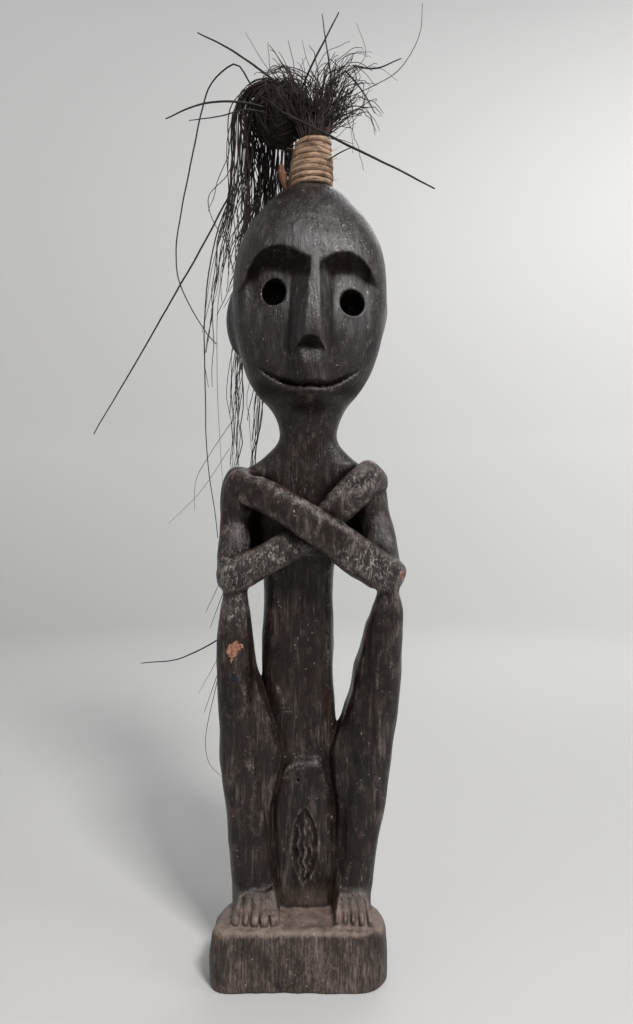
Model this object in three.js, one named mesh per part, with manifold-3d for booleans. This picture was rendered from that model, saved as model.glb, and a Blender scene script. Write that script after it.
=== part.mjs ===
// A squatting ancestor figure carved from one block of wood, with its arms crossed on its chest and its
// elbows on its knees. A stem of black palm fibre stands in a socket drilled in the crown. A cane cord is
// wound round the stem, and above it the fibres fold over into a knot, a short tuft and long hanging locks.
// Millimetres. X is the viewer's right, Y is the back and Z is up. The origin is the middle of the underside.
import * as THREE from "three";
import { mergeVertices } from "three/addons/utils/BufferGeometryUtils.js";
import Module from "manifold-3d";

const wasm = await Module();
wasm.setup();

// ---- driving dimensions -----------------------------------------------------------------------------

const GAP = 0.3; // left between pieces that touch
const BASE = { width: 107, backWidth: 92, depth: 76, height: 36, topRound: 9 };
const CROWN = { x: 6.5, y: 1.5, seat: 492, socketRadius: 9.4, socketDepth: 24 };
const CORD = {
  radius: 1.75,
  pitch: 3.8,
  turns: 7.6,
  sides: 6,
  stepsPerTurn: 16,
  // The end tucked up outside the first turns, from its tip: [angle back in radians, outwards, upwards].
  tail: [[0.02, 8, 16.5], [0.12, 7.4, 11.5], [0.26, 6, 6.5], [0.34, 4.1, 2.4], [0.2, 1.6, 0.3]],
};
const STEM = { radius: 9.05, top: 531, flare: 10.6, lean: 0.05 };
const LEFT = -1;
const RIGHT = 1;

// Sections are [x, y, z, half width, half depth].
const BODY = [
  [0, 13, 30, 27, 18],
  [0, 13, 70, 29, 19],
  [0, 13, 105, 28, 18],
  [-1, 12.5, 140, 24.8, 15],
  [-2, 12, 175, 22.8, 13.2],
  [-2, 11, 235, 23, 13.2],
  [-1, 10.5, 252, 23, 13.6],
  [0, 9.5, 266, 29, 15],
  [2, 8, 284, 38, 16],
  [3, 7, 300, 45, 15.5],
  [3.4, 6, 312, 40, 14.5],
  [4, 5.5, 321, 29, 14],
  [4.5, 5, 331, 19.6, 14.5],
  [4.8, 4, 343, 18.4, 16],
  [5, 2, 358, 23, 19],
];

// The back is carved out to the arms, so the hollows between the arms and the chest are blind.
const SHOULDER_WEB = [
  [-2, 9, 251, 32, 6.5],
  [-1, 8.5, 258, 40, 8],
  [3, 8, 270, 46, 9],
  [4, 7, 296, 47, 10.5],
];

const HEAD = [
  [5, 3, 346, 20, 18],
  [5.1, 1, 353, 26, 22],
  [5.2, -0.5, 361, 32, 26],
  [5.3, -1.5, 372, 38.3, 30],
  [5.6, -2, 383, 42.4, 33],
  [5.6, -2.5, 394, 45.3, 35],
  [5.8, -2.5, 405, 47.2, 36.3],
  [6.2, -2, 416, 48.2, 36.8],
  [6.2, -1.5, 427, 48.4, 36.8],
  [6.1, -1, 438, 47.9, 36.5],
  [6.1, -0.5, 449, 46, 35.5],
  [6.4, 0.5, 460, 42.6, 33],
  [6.6, 1, 470, 37.5, 29.5],
  [6.6, 1.5, 480, 29.5, 24.5],
  [6.6, 1.5, 487, 22.5, 19.5],
  [6.6, 1.5, 491.7, 15.5, 15],
];

const SHIN = {
  left: [
    [-28.5, -5, 33, 14.6, 13],
    [-28.5, -5, 46, 14.5, 12.5],
    [-31.7, -5, 80, 13.8, 12.5],
    [-36.8, -6, 117, 12.2, 13],
    [-39.8, -8, 160, 11.6, 13],
    [-40.9, -11, 200, 11.2, 12],
    [-40.4, -13, 226, 9.2, 10],
    [-40.2, -14, 241, 8.8, 9.2],
  ],
  right: [
    [33, -5, 33, 12.2, 13],
    [33, -5, 46, 11.8, 12.5],
    [38.6, -5, 80, 11.6, 12.5],
    [43, -6, 117, 12, 13],
    [48.8, -8, 160, 12.2, 13],
    [52.6, -11, 200, 11.4, 12],
    [54, -13, 226, 9, 10],
    [54.2, -14, 242, 8.8, 9.2],
  ],
};

const THIGH = {
  left: [
    [-40, -6, 221, 8.5, 10],
    [-39.5, 3, 196, 9.4, 12],
    [-36, 9, 172, 10.5, 13],
    [-27, 12, 146, 13.5, 14],
    [-19, 14, 112, 15, 15],
    [-14, 15, 80, 15, 15],
  ],
  right: [
    [53, -6, 221, 8.5, 10],
    [50, 1, 196, 9.8, 12],
    [44, 8, 164, 11.8, 13.6],
    [35, 12, 138, 13, 14],
    [24, 14, 106, 15, 15],
    [15, 15, 80, 15, 15],
  ],
};

// The flat inner planes of the legs, from the thighs down to the insteps.
const INNER_LEG = {
  left: [
    [-27, -1, 34, 12.5, 12],
    [-26, -1, 60, 12, 12.5],
    [-28, -1, 98, 10.5, 13.5],
    [-24.5, -1, 116, 11, 15],
    [-24, -1, 135, 12.5, 16],
    [-29, -1, 152, 11.5, 16],
    [-33, -2, 172, 9, 14.5],
    [-36.5, -3, 190, 6.5, 12],
    [-39, -5, 204, 3.5, 8],
  ],
  right: [
    [31.5, -2, 34, 11.5, 12],
    [31, -2, 62, 11.5, 13.5],
    [33.5, -2, 98, 11.5, 14.5],
    [33, -2, 117, 12.5, 16],
    [35, -3, 135, 15, 17],
    [41, -3, 154, 14, 17],
    [45, -4, 172, 13, 16],
    [47.8, -5, 196, 11, 14],
    [51, -6, 212, 10.4, 12],
    [53.3, -9, 226, 8, 9],
    [54.2, -12, 236, 5, 6],
  ],
};

const UPPER_ARM = {
  left: [
    [-40.5, 3, 303, 11, 12],
    [-41, -5, 274, 10, 11],
    [-40.5, -15, 246, 11, 11],
  ],
  right: [
    [46, 3, 303, 11, 12],
    [52, -5, 274, 10.2, 11],
    [54.2, -15, 248, 11, 11],
  ],
};

// The right forearm lies on the left one and reaches the left shoulder.
const FOREARM = {
  right: [
    [54, -18, 247, 11.2, 9],
    [31, -24, 262, 10.6, 8.5],
    [9, -27, 278, 10, 8],
    [-16, -22, 292, 10.2, 8],
    [-37, -11, 303, 11.4, 9],
  ],
  left: [
    [-39, -18, 246, 10.6, 9],
    [-18, -19, 258, 10, 8],
    [8, -17, 274, 9.8, 7.5],
    [30, -15, 295, 10, 8],
    [46, -9, 306, 11.2, 9.5],
  ],
};

const PANEL = [
  [2.5, 3, 33, 21, 12],
  [2.5, 3, 70, 21, 12.6],
  [2.4, 2.6, 98, 20.5, 12.8],
  [2.2, 2.8, 114, 18, 12.4],
  [3, 4, 125, 13, 11],
  [5, 6, 132, 6, 8],
];

// The face below the brows stands back behind the forehead: how far at each height of the head's sections.
const FACE_RECESS = { deep: 4.8, from: 366, to: 392 };
const BROW_LINE = [[-52, 414], [-38, 429], [-22, 435], [-6, 434], [5.5, 440], [18, 433], [34, 429.5], [58, 412]];

const EYE = { left: [-16.5, 421], right: [31, 414.5], radius: 7.2, depth: 11 };
const MOUTH = [[-23, 376.5], [-10, 366], [6.5, 361], [22, 364.5], [35.5, 375]];
const FOOT = { length: 32, toeHeight: 7, instep: 13, width: 26, toes: 5, grooveWidth: 1.5 };
const FOOT_X = { left: -27.5, right: 33.5 };

// Fibre locks: sections are [x, y, z, half width, half depth], from where the lock leaves the knot.
const TUFT = {
  tuft_lock_front: [[0, -5.4, 534.3, 4, 3], [-6, -12, 548, 4.5, 3.5], [-14, -14.5, 560, 4, 3], [-24, -15.5, 568, 2, 2]],
  tuft_lock_right: [[12.2, -3.4, 534.5, 4, 3], [22, -4, 553, 4.5, 3.5], [31, -6, 568, 4, 3], [42, -8, 573, 2, 2]],
  tuft_lock_side: [[17.6, 5, 535, 3.5, 3], [29, 10, 551, 4, 3.5], [40, 11, 560, 3.5, 3], [48, 11, 547, 1.8, 1.8]],
  tuft_lock_upright: [[10.5, 9.6, 534.6, 3.5, 3.5], [14, 9, 556, 4.5, 4], [19, 11, 571, 4, 3], [26, 11, 578, 2, 2]],
  tuft_lock_rear: [[4, 12.6, 534, 3.5, 3], [8, 23, 553, 4, 3.5], [6, 32, 561, 3.5, 3], [2, 39, 552, 1.8, 1.8]],
};

const FALL = {
  fall_lock_outer: [
    [-31, -1.2, 553, 5, 4],
    [-36.5, 3, 546, 6, 5],
    [-39.5, 9, 518, 6, 5],
    [-43, 14, 478, 5.5, 4.5],
    [-49.5, 19, 430, 4, 3.5],
    [-54.5, 21.5, 386, 2, 2],
  ],
  fall_lock_twisted: [
    [-30, 14, 558.8, 4.8, 4],
    [-34.5, 18, 548, 5.5, 5],
    [-34, 22, 515, 5.5, 5],
    [-38, 27, 475, 5, 4.5],
    [-48, 32, 437, 4.5, 4],
    [-61, 34, 406, 2.5, 2.5],
  ],
  fall_lock_middle: [
    [-20, 22.5, 558, 4.8, 4],
    [-24, 31, 547, 5.5, 5],
    [-26, 35, 512, 6, 5],
    [-31, 40, 465, 5.5, 4.5],
    [-39, 42, 415, 5, 4],
    [-43, 40, 365, 4.5, 3.5],
    [-43.5, 38, 315, 4, 3],
    [-46, 37, 250, 3, 2.5],
    [-50, 36, 175, 2, 2],
  ],
  fall_lock_back: [
    [-9, 24.8, 555, 4.8, 4],
    [-10.5, 36, 545, 5.5, 5],
    [-12, 43, 508, 6, 5],
    [-15, 48, 460, 5.5, 4.5],
    [-22, 50, 405, 5, 4],
    [-31, 49.5, 352, 4, 3.5],
    [-35, 48, 300, 3, 2.5],
    [-36, 46, 240, 2, 2],
  ],
};

// Stray stiff fibres: points along each one, and its radius at the root.
const QUILL_TIP = 0.45;
const QUILLS = {
  quill_long_right: {
    radius: 0.85,
    points: [[-20, -6.8, 546], [-9, -14, 534.5], [12, -18, 522.5], [83, -23, 484]],
  },
  quill_top: { radius: 0.75, points: [[-2, -1.6, 550], [7, -11, 565.5], [24, -16, 596.5]] },
  quill_top_thin: { radius: 0.5, points: [[20, -8.6, 556], [17.5, -10, 572], [14, -9, 600]] },
  quill_upper_left: { radius: 0.75, points: [[-15.5, -3, 560.5], [-43, -12.5, 575.5], [-63.5, -16, 583.5]] },
  quill_left: {
    radius: 0.75,
    points: [[-23, -4.4, 543.5], [-33, -9, 543.5], [-55, -13, 541.5], [-67, -15, 538], [-83.5, -17, 529.5]],
  },
  quill_left_low: { radius: 0.5, points: [[-21, -5, 539.5], [-33, -10, 539], [-50, -14, 532.5], [-68.5, -18, 528]] },
  quill_right_up: { radius: 0.55, points: [[33, -10.4, 566.5], [48, -13, 563], [63.5, -16, 567]] },
  quill_right_down: { radius: 0.6, points: [[28.5, -10, 563.5], [38, -16, 549], [46.5, -19, 532.5]] },
  quill_right_low: { radius: 0.5, points: [[18, -9.2, 508], [26, -13, 511], [34, -15, 513.5]] },
  quill_arch: {
    radius: 0.6,
    points: [[-31.5, -1.2, 559.4], [-41, -2, 572], [-50, -2, 567.5], [-58, -1, 558.5], [-62.5, 0, 546],
      [-75.5, 4, 488], [-81.5, 8, 455], [-79, 10, 436], [-62.5, 14, 404], [-56, 15, 397]],
  },
  quill_slant: { radius: 0.65, points: [[-44, 6.2, 496], [-56.5, 4, 471], [-93.5, 0, 403], [-132, -2, 336]] },
  quill_hanging: {
    radius: 0.5,
    points: [[-41.2, 22, 512], [-55.5, 25, 477], [-64, 28, 439], [-65.5, 31, 365], [-64, 32, 324], [-57, 33, 268]],
  },
  quill_low_side: { radius: 0.5, points: [[-51.4, 35, 204], [-59, 32, 197.5], [-82.5, 30, 186], [-109, 29, 183.5]] },
};

// ---- geometry helpers -------------------------------------------------------------------------------

const BACK = new THREE.Vector3(0, 1, 0);
const UP = new THREE.Vector3(0, 0, 1);

/** The closed skin over a stack of rings of points, each ring turning anticlockwise about the way along. */
function skin(rings) {
  const sides = rings[0].length;
  const top = (rings.length - 1) * sides;
  const index = [];
  for (let ring = 0; ring < top; ring += sides) {
    for (let side = 0; side < sides; side++) {
      const next = (side + 1) % sides;
      index.push(ring + side, ring + next, ring + sides + next);
      index.push(ring + side, ring + sides + next, ring + sides + side);
    }
  }
  for (let side = 1; side + 1 < sides; side++) {
    index.push(0, side + 1, side);
    index.push(top, top + side, top + side + 1);
  }
  return new THREE.BufferGeometry().setFromPoints(rings.flat()).setIndex(index);
}

/** One superellipse ring. A power of 2 is an ellipse, and a higher one is nearer a rectangle. */
function ring(centre, across, deep, halfWidth, halfDepth, sides, power) {
  return Array.from({ length: sides }, (_, side) => {
    const angle = (2 * Math.PI * side) / sides;
    const bend = (value) => Math.sign(value) * Math.abs(value) ** (2 / power);
    return centre
      .clone()
      .addScaledVector(across, halfWidth * bend(Math.cos(angle)))
      .addScaledVector(deep, halfDepth * bend(Math.sin(angle)));
  });
}

/** A solid through level sections. */
function stack(sections, sides = 20, power = 2.4) {
  const across = new THREE.Vector3(1, 0, 0);
  const rings = sections.map(([x, y, z, a, b]) =>
    ring(new THREE.Vector3(x, y, z), across, BACK, a, b, sides, power),
  );
  return skin(rings);
}

/** A limb or lock along a smooth path through the sections' centres, with ends cut flat or rounded. */
function limb(sections, { steps = 6, sides = 12, power = 2.2, caps = [[0.75, 0.62]] } = {}) {
  const path = new THREE.CatmullRomCurve3(sections.map(([x, y, z]) => new THREE.Vector3(x, y, z)));
  const rings = [];
  const addRing = (t, shift, scale) => {
    const along = path.getTangent(t);
    const deep = BACK.clone().addScaledVector(along, -BACK.dot(along)).normalize();
    const across = deep.clone().cross(along);
    const place = t * (sections.length - 1);
    const from = sections[Math.floor(place)];
    const to = sections[Math.min(Math.floor(place) + 1, sections.length - 1)];
    const a = THREE.MathUtils.lerp(from[3], to[3], place % 1) * scale;
    const b = THREE.MathUtils.lerp(from[4], to[4], place % 1) * scale;
    const reach = THREE.MathUtils.lerp(from[4], to[4], place % 1);
    rings.push(ring(path.getPoint(t).addScaledVector(along, shift * reach), across, deep, a, b, sides, power));
  };
  for (const [shift, scale] of caps) addRing(0, -shift, scale);
  for (let step = 0; step <= steps; step++) addRing(step / steps, 0, 1);
  for (const [shift, scale] of caps.toReversed()) addRing(1, shift, scale);
  return skin(rings);
}

function solid(geometry) {
  const bare = geometry.index ? geometry.toNonIndexed() : geometry.clone();
  for (const name of Object.keys(bare.attributes)) if (name !== "position") bare.deleteAttribute(name);
  const merged = mergeVertices(bare, 1e-4);
  return new wasm.Manifold(
    new wasm.Mesh({
      numProp: 3,
      vertProperties: new Float32Array(merged.attributes.position.array),
      triVerts: new Uint32Array(merged.index.array),
    }),
  );
}

function geometryOf(body) {
  const { vertProperties, triVerts } = body.getMesh();
  return new THREE.BufferGeometry()
    .setAttribute("position", new THREE.BufferAttribute(vertProperties, 3))
    .setIndex(new THREE.BufferAttribute(triVerts, 1));
}

function joined(geometries) {
  return geometries.map(solid).reduce((whole, piece) => whole.add(piece));
}

function block(x, y, z, width, depth, height) {
  return new THREE.BoxGeometry(width, depth, height).translate(x, y, z);
}

function ball(x, y, z, a, b, c) {
  return new THREE.SphereGeometry(1, 12, 8).scale(a, b, c).translate(x, y, z);
}

/** An upright cylinder from z to z + height. */
function post(x, y, z, radius, height, sides = 24) {
  return new THREE.CylinderGeometry(radius, radius, height, sides)
    .rotateX(Math.PI / 2)
    .translate(x, y, z + height / 2);
}

/** How far forward the head reaches at a place on the face. */
function faceFront(x, z) {
  const upper = HEAD.findIndex((section) => section[2] >= z);
  const [from, to] = [HEAD[upper - 1], HEAD[upper]];
  const share = (z - from[2]) / (to[2] - from[2]);
  const [cx, cy, , a, b] = from.map((value, i) => THREE.MathUtils.lerp(value, to[i], share));
  const side = Math.min(1, Math.abs(x - cx) / a);
  return cy - b * (1 - side ** 2.3) ** (1 / 2.3);
}

// ---- the carving ------------------------------------------------------------------------------------

function baseBlock() {
  const { width, backWidth, depth, height, topRound } = BASE;
  const inset = topRound;
  const [right, back, rear] = [width / 2 - inset, depth / 2 - inset, backWidth / 2 - inset];
  const corner = { frontLeft: 6, frontRight: 15, back: 26 };
  const outline = new THREE.Shape()
    .moveTo(-right + corner.frontLeft, -back)
    .lineTo(right - corner.frontRight, -back)
    .quadraticCurveTo(right, -back, right, -back + corner.frontRight)
    .lineTo(right, -8)
    .lineTo(rear, back - corner.back)
    .quadraticCurveTo(rear, back, rear - corner.back, back)
    .lineTo(-rear + corner.back, back)
    .quadraticCurveTo(-rear, back, -rear, back - corner.back)
    .lineTo(-right, -8)
    .lineTo(-right, -back + corner.frontLeft)
    .quadraticCurveTo(-right, -back, -right + corner.frontLeft, -back);
  const rough = new THREE.ExtrudeGeometry(outline, {
    depth: height - topRound + inset,
    bevelThickness: topRound,
    bevelSize: inset,
    bevelSegments: 3,
    curveSegments: 5,
  }).translate(0, 0, -inset);
  return solid(rough).intersect(solid(block(0, 0, height / 2, width * 2, depth * 2, height)));
}

function foot(side) {
  const { length, toeHeight, instep, width, toes, grooveWidth } = FOOT;
  const profile = new THREE.Shape()
    .moveTo(0, -2)
    .lineTo(length - 3, -2)
    .lineTo(length, 2)
    .lineTo(length - 3, toeHeight)
    .lineTo(length * 0.45, instep)
    .lineTo(0, instep + 2);
  // The profile's x runs forward, so that after the turns it lies along -Y and its y along Z.
  const shape = new THREE.ExtrudeGeometry(profile, { depth: width, bevelEnabled: false })
    .rotateX(Math.PI / 2)
    .rotateZ(-Math.PI / 2)
    .translate(FOOT_X[side] + width / 2, 0.5, BASE.height);
  let made = solid(shape);
  for (let groove = 1; groove < toes; groove++) {
    const x = FOOT_X[side] - width / 2 + (width * groove) / toes;
    made = made.subtract(solid(block(x, -28, BASE.height + 8, grooveWidth, 12, 9)));
  }
  return made;
}

/** What is cut away below the brows, fading out at the mouth and round the sides of the head. */
function faceRecess() {
  const { deep, from, to } = FACE_RECESS;
  const below = new THREE.Shape([[-52, from], [58, from], ...BROW_LINE.toReversed()].map(([x, z]) =>
    new THREE.Vector2(x, z),
  ));
  const front = new THREE.ExtrudeGeometry(below, { depth: 60, bevelEnabled: false }).rotateX(Math.PI / 2);
  const kept = HEAD.map(([x, y, z, a, b]) => [x, y + deep * THREE.MathUtils.smoothstep(z, from, to), z, a, b]);
  return solid(front).subtract(solid(stack(kept, 24, 2.3)));
}

function nose() {
  const bridge = [5.8, -30, 441, 4, 7];
  const middle = [5.6, -32, 415, 5.6, 8];
  const tip = [5.3, -32, 384, 8.4, 11.5];
  return solid(stack([bridge, middle, tip].reverse(), 8, 1.6));
}

function eyeHole(side) {
  const [x, z] = EYE[side];
  const front = faceFront(x, z) + FACE_RECESS.deep;
  return new THREE.CylinderGeometry(EYE.radius, EYE.radius, EYE.depth * 2, 16).translate(x, front, z);
}

function mouthGroove() {
  const sections = MOUTH.map(([x, z]) => [x, faceFront(x, z) + 0.5, z, 2.4, 1.8]);
  return limb(sections, { steps: 8, sides: 6 });
}

function carving() {
  const body = joined([
    stack(BODY, 20, 2.7),
    stack(SHOULDER_WEB, 16, 3),
    stack(HEAD, 24, 2.3),
    stack(PANEL, 14, 2.6),
    ...["left", "right"].flatMap((side) => [
      stack(SHIN[side], 14, 2.6),
      stack(INNER_LEG[side], 14, 3),
      limb(THIGH[side]),
      limb(UPPER_ARM[side], { steps: 5 }),
      limb(FOREARM[side], { steps: 8 }),
    ]),
    ball(-40.5, 5, 410, 4, 6, 15),
    ball(52, 5, 410, 4, 6, 15),
    ball(6.2, -25, 370, 18, 9.5, 11),
  ]);
  const lens = { x: 3, y: -9.5, z: 78 };
  const { x, y, seat, socketRadius, socketDepth } = CROWN;
  const carved = body
    .add(baseBlock())
    .add(foot("left"))
    .add(foot("right"))
    .subtract(faceRecess())
    .add(nose())
    .subtract(joined([eyeHole("left"), eyeHole("right"), mouthGroove()]))
    .subtract(solid(ball(lens.x, lens.y, lens.z, 8, 3, 21)))
    .add(solid(ball(lens.x, lens.y + 1, lens.z, 4, 3, 15)))
    .subtract(solid(post(x, y, seat, 30, 20)))
    .subtract(solid(post(x, y, seat - socketDepth, socketRadius, socketDepth + 10)));
  // The cuts may leave a crumb of a fraction of a cubic millimetre, which is dropped.
  return carved.decompose().reduce((most, piece) => (piece.volume() > most.volume() ? piece : most));
}

// ---- the topknot ------------------------------------------------------------------------------------

/** The bound stem of fibres: it fills the socket and the winding, and flares above them. */
function fibreStem() {
  const { x, y, seat, socketDepth } = CROWN;
  const foot = seat - socketDepth + GAP;
  const sections = [
    [foot, STEM.radius - 1.5],
    [foot + 3, STEM.radius],
    [seat, STEM.radius],
    [seat + 14, STEM.radius - 0.2],
    [CORD_TOP, STEM.radius - 2.2],
    [STEM.top - 3, STEM.flare - 0.7],
    [STEM.top, STEM.flare],
  ];
  return stack(sections.map(([z, radius]) => [x + lean(z), y, z, radius, radius]), 18, 2);
}

/** How far the stem leans to the right at a height. */
function lean(z) {
  return STEM.lean * Math.max(0, z - CROWN.seat);
}

const CORD_TOP = CROWN.seat + GAP + 2 * CORD.radius + CORD.turns * CORD.pitch;

/** The cord's centreline radius, a share of the way up the winding: barrel-shaped and narrower at the top. */
function windingRadius(share) {
  return STEM.radius + GAP + CORD.radius + 1.4 * Math.sin(Math.PI * Math.min(1, share + 0.25)) - 1.2 * share ** 3;
}

function winding() {
  const bottom = CROWN.seat + GAP + CORD.radius;
  const startAngle = Math.PI * 0.98; // the tucked end shows on the viewer's left
  const onAxis = (angle, radius, z) =>
    new THREE.Vector3(CROWN.x + lean(z) + radius * Math.cos(angle), CROWN.y + radius * Math.sin(angle), z);
  const tucked = CORD.tail.map(([turnBack, out, up]) =>
    onAxis(startAngle - turnBack, windingRadius(0) + out, bottom + up),
  );
  const steps = Math.round(CORD.turns * CORD.stepsPerTurn);
  const turns = Array.from({ length: steps + 1 }, (_, step) => {
    const share = step / steps;
    const angle = startAngle + 2 * Math.PI * CORD.turns * share;
    return onAxis(angle, windingRadius(share), bottom + CORD.pitch * CORD.turns * share);
  });
  const points = [...tucked, ...turns];
  const path = new THREE.CatmullRomCurve3(points);
  const section = new THREE.Shape(
    Array.from({ length: CORD.sides }, (_, side) => {
      const angle = (2 * Math.PI * side) / CORD.sides;
      return new THREE.Vector2(CORD.radius * Math.cos(angle), CORD.radius * Math.sin(angle));
    }),
  );
  return new THREE.ExtrudeGeometry(section, { steps: points.length - 1, extrudePath: path, curveSegments: 1 });
}

function knot() {
  return ball(-14.5, 8, 545.5, 15.5, 14, 19);
}

/** A hanging lock. Its root is a ball, so that it can turn against the knot. */
function fallLock(sections) {
  return limb(sections, { steps: 12, sides: 8, power: 2, caps: [[0.92, 0.39], [0.54, 0.84]] });
}

function quill({ radius, points }) {
  const last = points.length - 1;
  const sections = points.map(([x, y, z], i) => {
    const half = THREE.MathUtils.lerp(radius, QUILL_TIP, i / last);
    return [x, y, z, half, half];
  });
  return limb(sections, { steps: 4 + 2 * last, sides: 5, power: 2, caps: [] });
}

// ---- the assembly -----------------------------------------------------------------------------------

const WOOD = new THREE.MeshStandardMaterial({ color: 0x2e2a28, roughness: 0.7, metalness: 0 });
const CANE = new THREE.MeshStandardMaterial({ color: 0xa98763, roughness: 0.75, metalness: 0 });
const FIBRE = new THREE.MeshStandardMaterial({ color: 0x17110f, roughness: 0.6, metalness: 0 });

const figure = new THREE.Group();

function place(name, geometry, material) {
  const mesh = new THREE.Mesh(geometry, material);
  mesh.name = name;
  figure.add(mesh);
}

place("carved_figure", geometryOf(carving()), WOOD);
place("fibre_stem", fibreStem(), FIBRE);
place("cane_winding", winding(), CANE);
place("fibre_knot", knot(), FIBRE);
for (const [name, sections] of Object.entries(TUFT)) place(name, limb(sections, { sides: 8 }), FIBRE);
for (const [name, sections] of Object.entries(FALL)) place(name, fallLock(sections), FIBRE);
for (const [name, strand] of Object.entries(QUILLS)) place(name, quill(strand), FIBRE);

export default figure;
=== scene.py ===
"""The looks of the carved ancestor figure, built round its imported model.

The carving is sculpted as signed distances on a grid and meshed. The hair, the cord and the stray fibres
are swept along their own paths. Lengths are in millimetres until a mesh is made, in the model's frame: X is to
the viewer's right, Y is to the back and Z is up, from the middle of the underside.
"""

import math
from functools import reduce

import bpy
import numpy as np
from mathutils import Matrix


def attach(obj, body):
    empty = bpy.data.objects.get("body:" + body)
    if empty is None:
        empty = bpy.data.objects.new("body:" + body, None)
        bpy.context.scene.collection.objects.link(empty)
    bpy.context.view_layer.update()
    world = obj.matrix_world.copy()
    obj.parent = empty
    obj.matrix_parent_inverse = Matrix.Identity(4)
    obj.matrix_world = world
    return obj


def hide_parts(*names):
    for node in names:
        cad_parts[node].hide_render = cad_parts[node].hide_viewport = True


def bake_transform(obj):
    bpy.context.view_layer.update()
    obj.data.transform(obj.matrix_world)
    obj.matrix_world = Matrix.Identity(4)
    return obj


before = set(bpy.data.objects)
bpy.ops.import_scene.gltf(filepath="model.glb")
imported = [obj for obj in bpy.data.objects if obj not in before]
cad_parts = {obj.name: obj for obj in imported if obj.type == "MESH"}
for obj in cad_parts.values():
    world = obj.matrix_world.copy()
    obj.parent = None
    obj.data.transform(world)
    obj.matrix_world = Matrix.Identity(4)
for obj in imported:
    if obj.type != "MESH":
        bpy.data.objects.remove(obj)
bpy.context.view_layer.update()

MM = 0.001


# ---- camera ----

camera_data = bpy.data.cameras.new("camera")
camera_data.lens = 27
camera_data.sensor_width = 36
camera = bpy.data.objects.new("camera", camera_data)
camera.location = (0.0103, -0.493, 0.286)
camera.rotation_euler = (math.pi / 2, 0, 0)
bpy.context.scene.collection.objects.link(camera)
bpy.context.scene.camera = camera


# ---- clay: shapes as distances on a grid ----

GRID_STEP = 0.9
GRID_LOW = (-60, -52, -3)
GRID_HIGH = (72, 48, 496)
FAR = 30.0  # the distance where there is nothing yet
TINY = 1e-4  # keeps divisions from failing


def smoothstep(low, high, value):
    t = np.clip((value - low) / (high - low), 0, 1)
    return t * t * (3 - 2 * t)


def smooth_min(a, b, k):
    """The smaller of two distances, rounded where they meet over about k."""
    h = np.clip(0.5 + 0.5 * (b - a) / k, 0, 1)
    return b + (a - b) * h - k * h * (1 - h)


def curve_table(rows, steps):
    """A smooth curve through rows of numbers (a centripetal spline), with steps between neighbours."""
    rows = np.array(rows, float)
    ends = np.vstack([2 * rows[0] - rows[1], rows, 2 * rows[-1] - rows[-2]])
    knots = np.cumsum(np.append(0, np.linalg.norm(np.diff(ends[:, :3], axis=0), axis=1) ** 0.5))
    out = []
    for i in range(1, len(rows)):
        (p0, p1, p2, p3), (t0, t1, t2, t3) = ends[i - 1 : i + 3], knots[i - 1 : i + 3]
        t = t1 + (t2 - t1) * np.arange(steps)[:, None] / steps
        a1 = ((t1 - t) * p0 + (t - t0) * p1) / (t1 - t0)
        a2 = ((t2 - t) * p1 + (t - t1) * p2) / (t2 - t1)
        a3 = ((t3 - t) * p2 + (t - t2) * p3) / (t3 - t2)
        b1 = ((t2 - t) * a1 + (t - t0) * a2) / (t2 - t0)
        b2 = ((t3 - t) * a2 + (t - t1) * a3) / (t3 - t1)
        out.append(((t2 - t) * b1 + (t - t1) * b2) / (t2 - t1))
    return np.vstack([*out, rows[-1:]])


def line(points, x):
    """A height read off a smooth line through (x, height) points."""
    fine = curve_table(points, 6)
    return np.interp(x, fine[:, 0], fine[:, 1])


class Clay:
    """Distances in millimetres on a grid, negative inside.

    A shape is (low corner, high corner, distance), and distance is a function of x, y and z.
    """

    def __init__(self, low, high, step):
        self.low, self.step = np.array(low, float), step
        self.count = np.ceil((np.array(high) - self.low) / step).astype(int) + 1
        self.field = np.full(self.count, FAR, np.float32)

    def window(self, low, high, margin=0.0):
        """The grid between two corners, as slices and as x, y and z."""
        first = np.floor((np.array(low) - margin - self.low) / self.step).astype(int)
        last = np.ceil((np.array(high) + margin - self.low) / self.step).astype(int) + 1
        first, last = np.clip(first, 0, self.count), np.clip(last, 0, self.count)
        cut = tuple(slice(a, b) for a, b in zip(first, last))
        axes = [
            (low + self.step * np.arange(a, b)).astype(np.float32)
            for low, a, b in zip(self.low, first, last)
        ]
        return cut, axes[0][:, None, None], axes[1][None, :, None], axes[2][None, None, :]

    def join(self, shape, k, margin=6, sign=1):
        """Adds a shape, rounded where it meets the rest over about k."""
        low, high, distance = shape
        cut, x, y, z = self.window(low, high, k + margin)
        self.field[cut] = sign * smooth_min(sign * self.field[cut], distance(x, y, z), k)

    def cut(self, shape, k):
        self.join(shape, k, margin=3, sign=-1)

    def roughen(self, size, amount, seed, low=GRID_LOW, high=GRID_HIGH, fade=None, scoops=False):
        """Moves the surface in and out by smooth noise whose lumps are about size across.

        scoops makes it shallow cuts with crisp ridges between them, and it fades out between the two
        heights of fade.
        """
        cut, x, y, z = self.window(low, high)
        noise = lumps([axis.ravel() for axis in (x, y, z)], size, seed)
        if scoops:
            noise = 2 * np.abs(noise) - 0.7
        if fade:
            noise = noise * (1 - smoothstep(*fade, z))
        self.field[cut] += (amount * noise).astype(np.float32)


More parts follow.
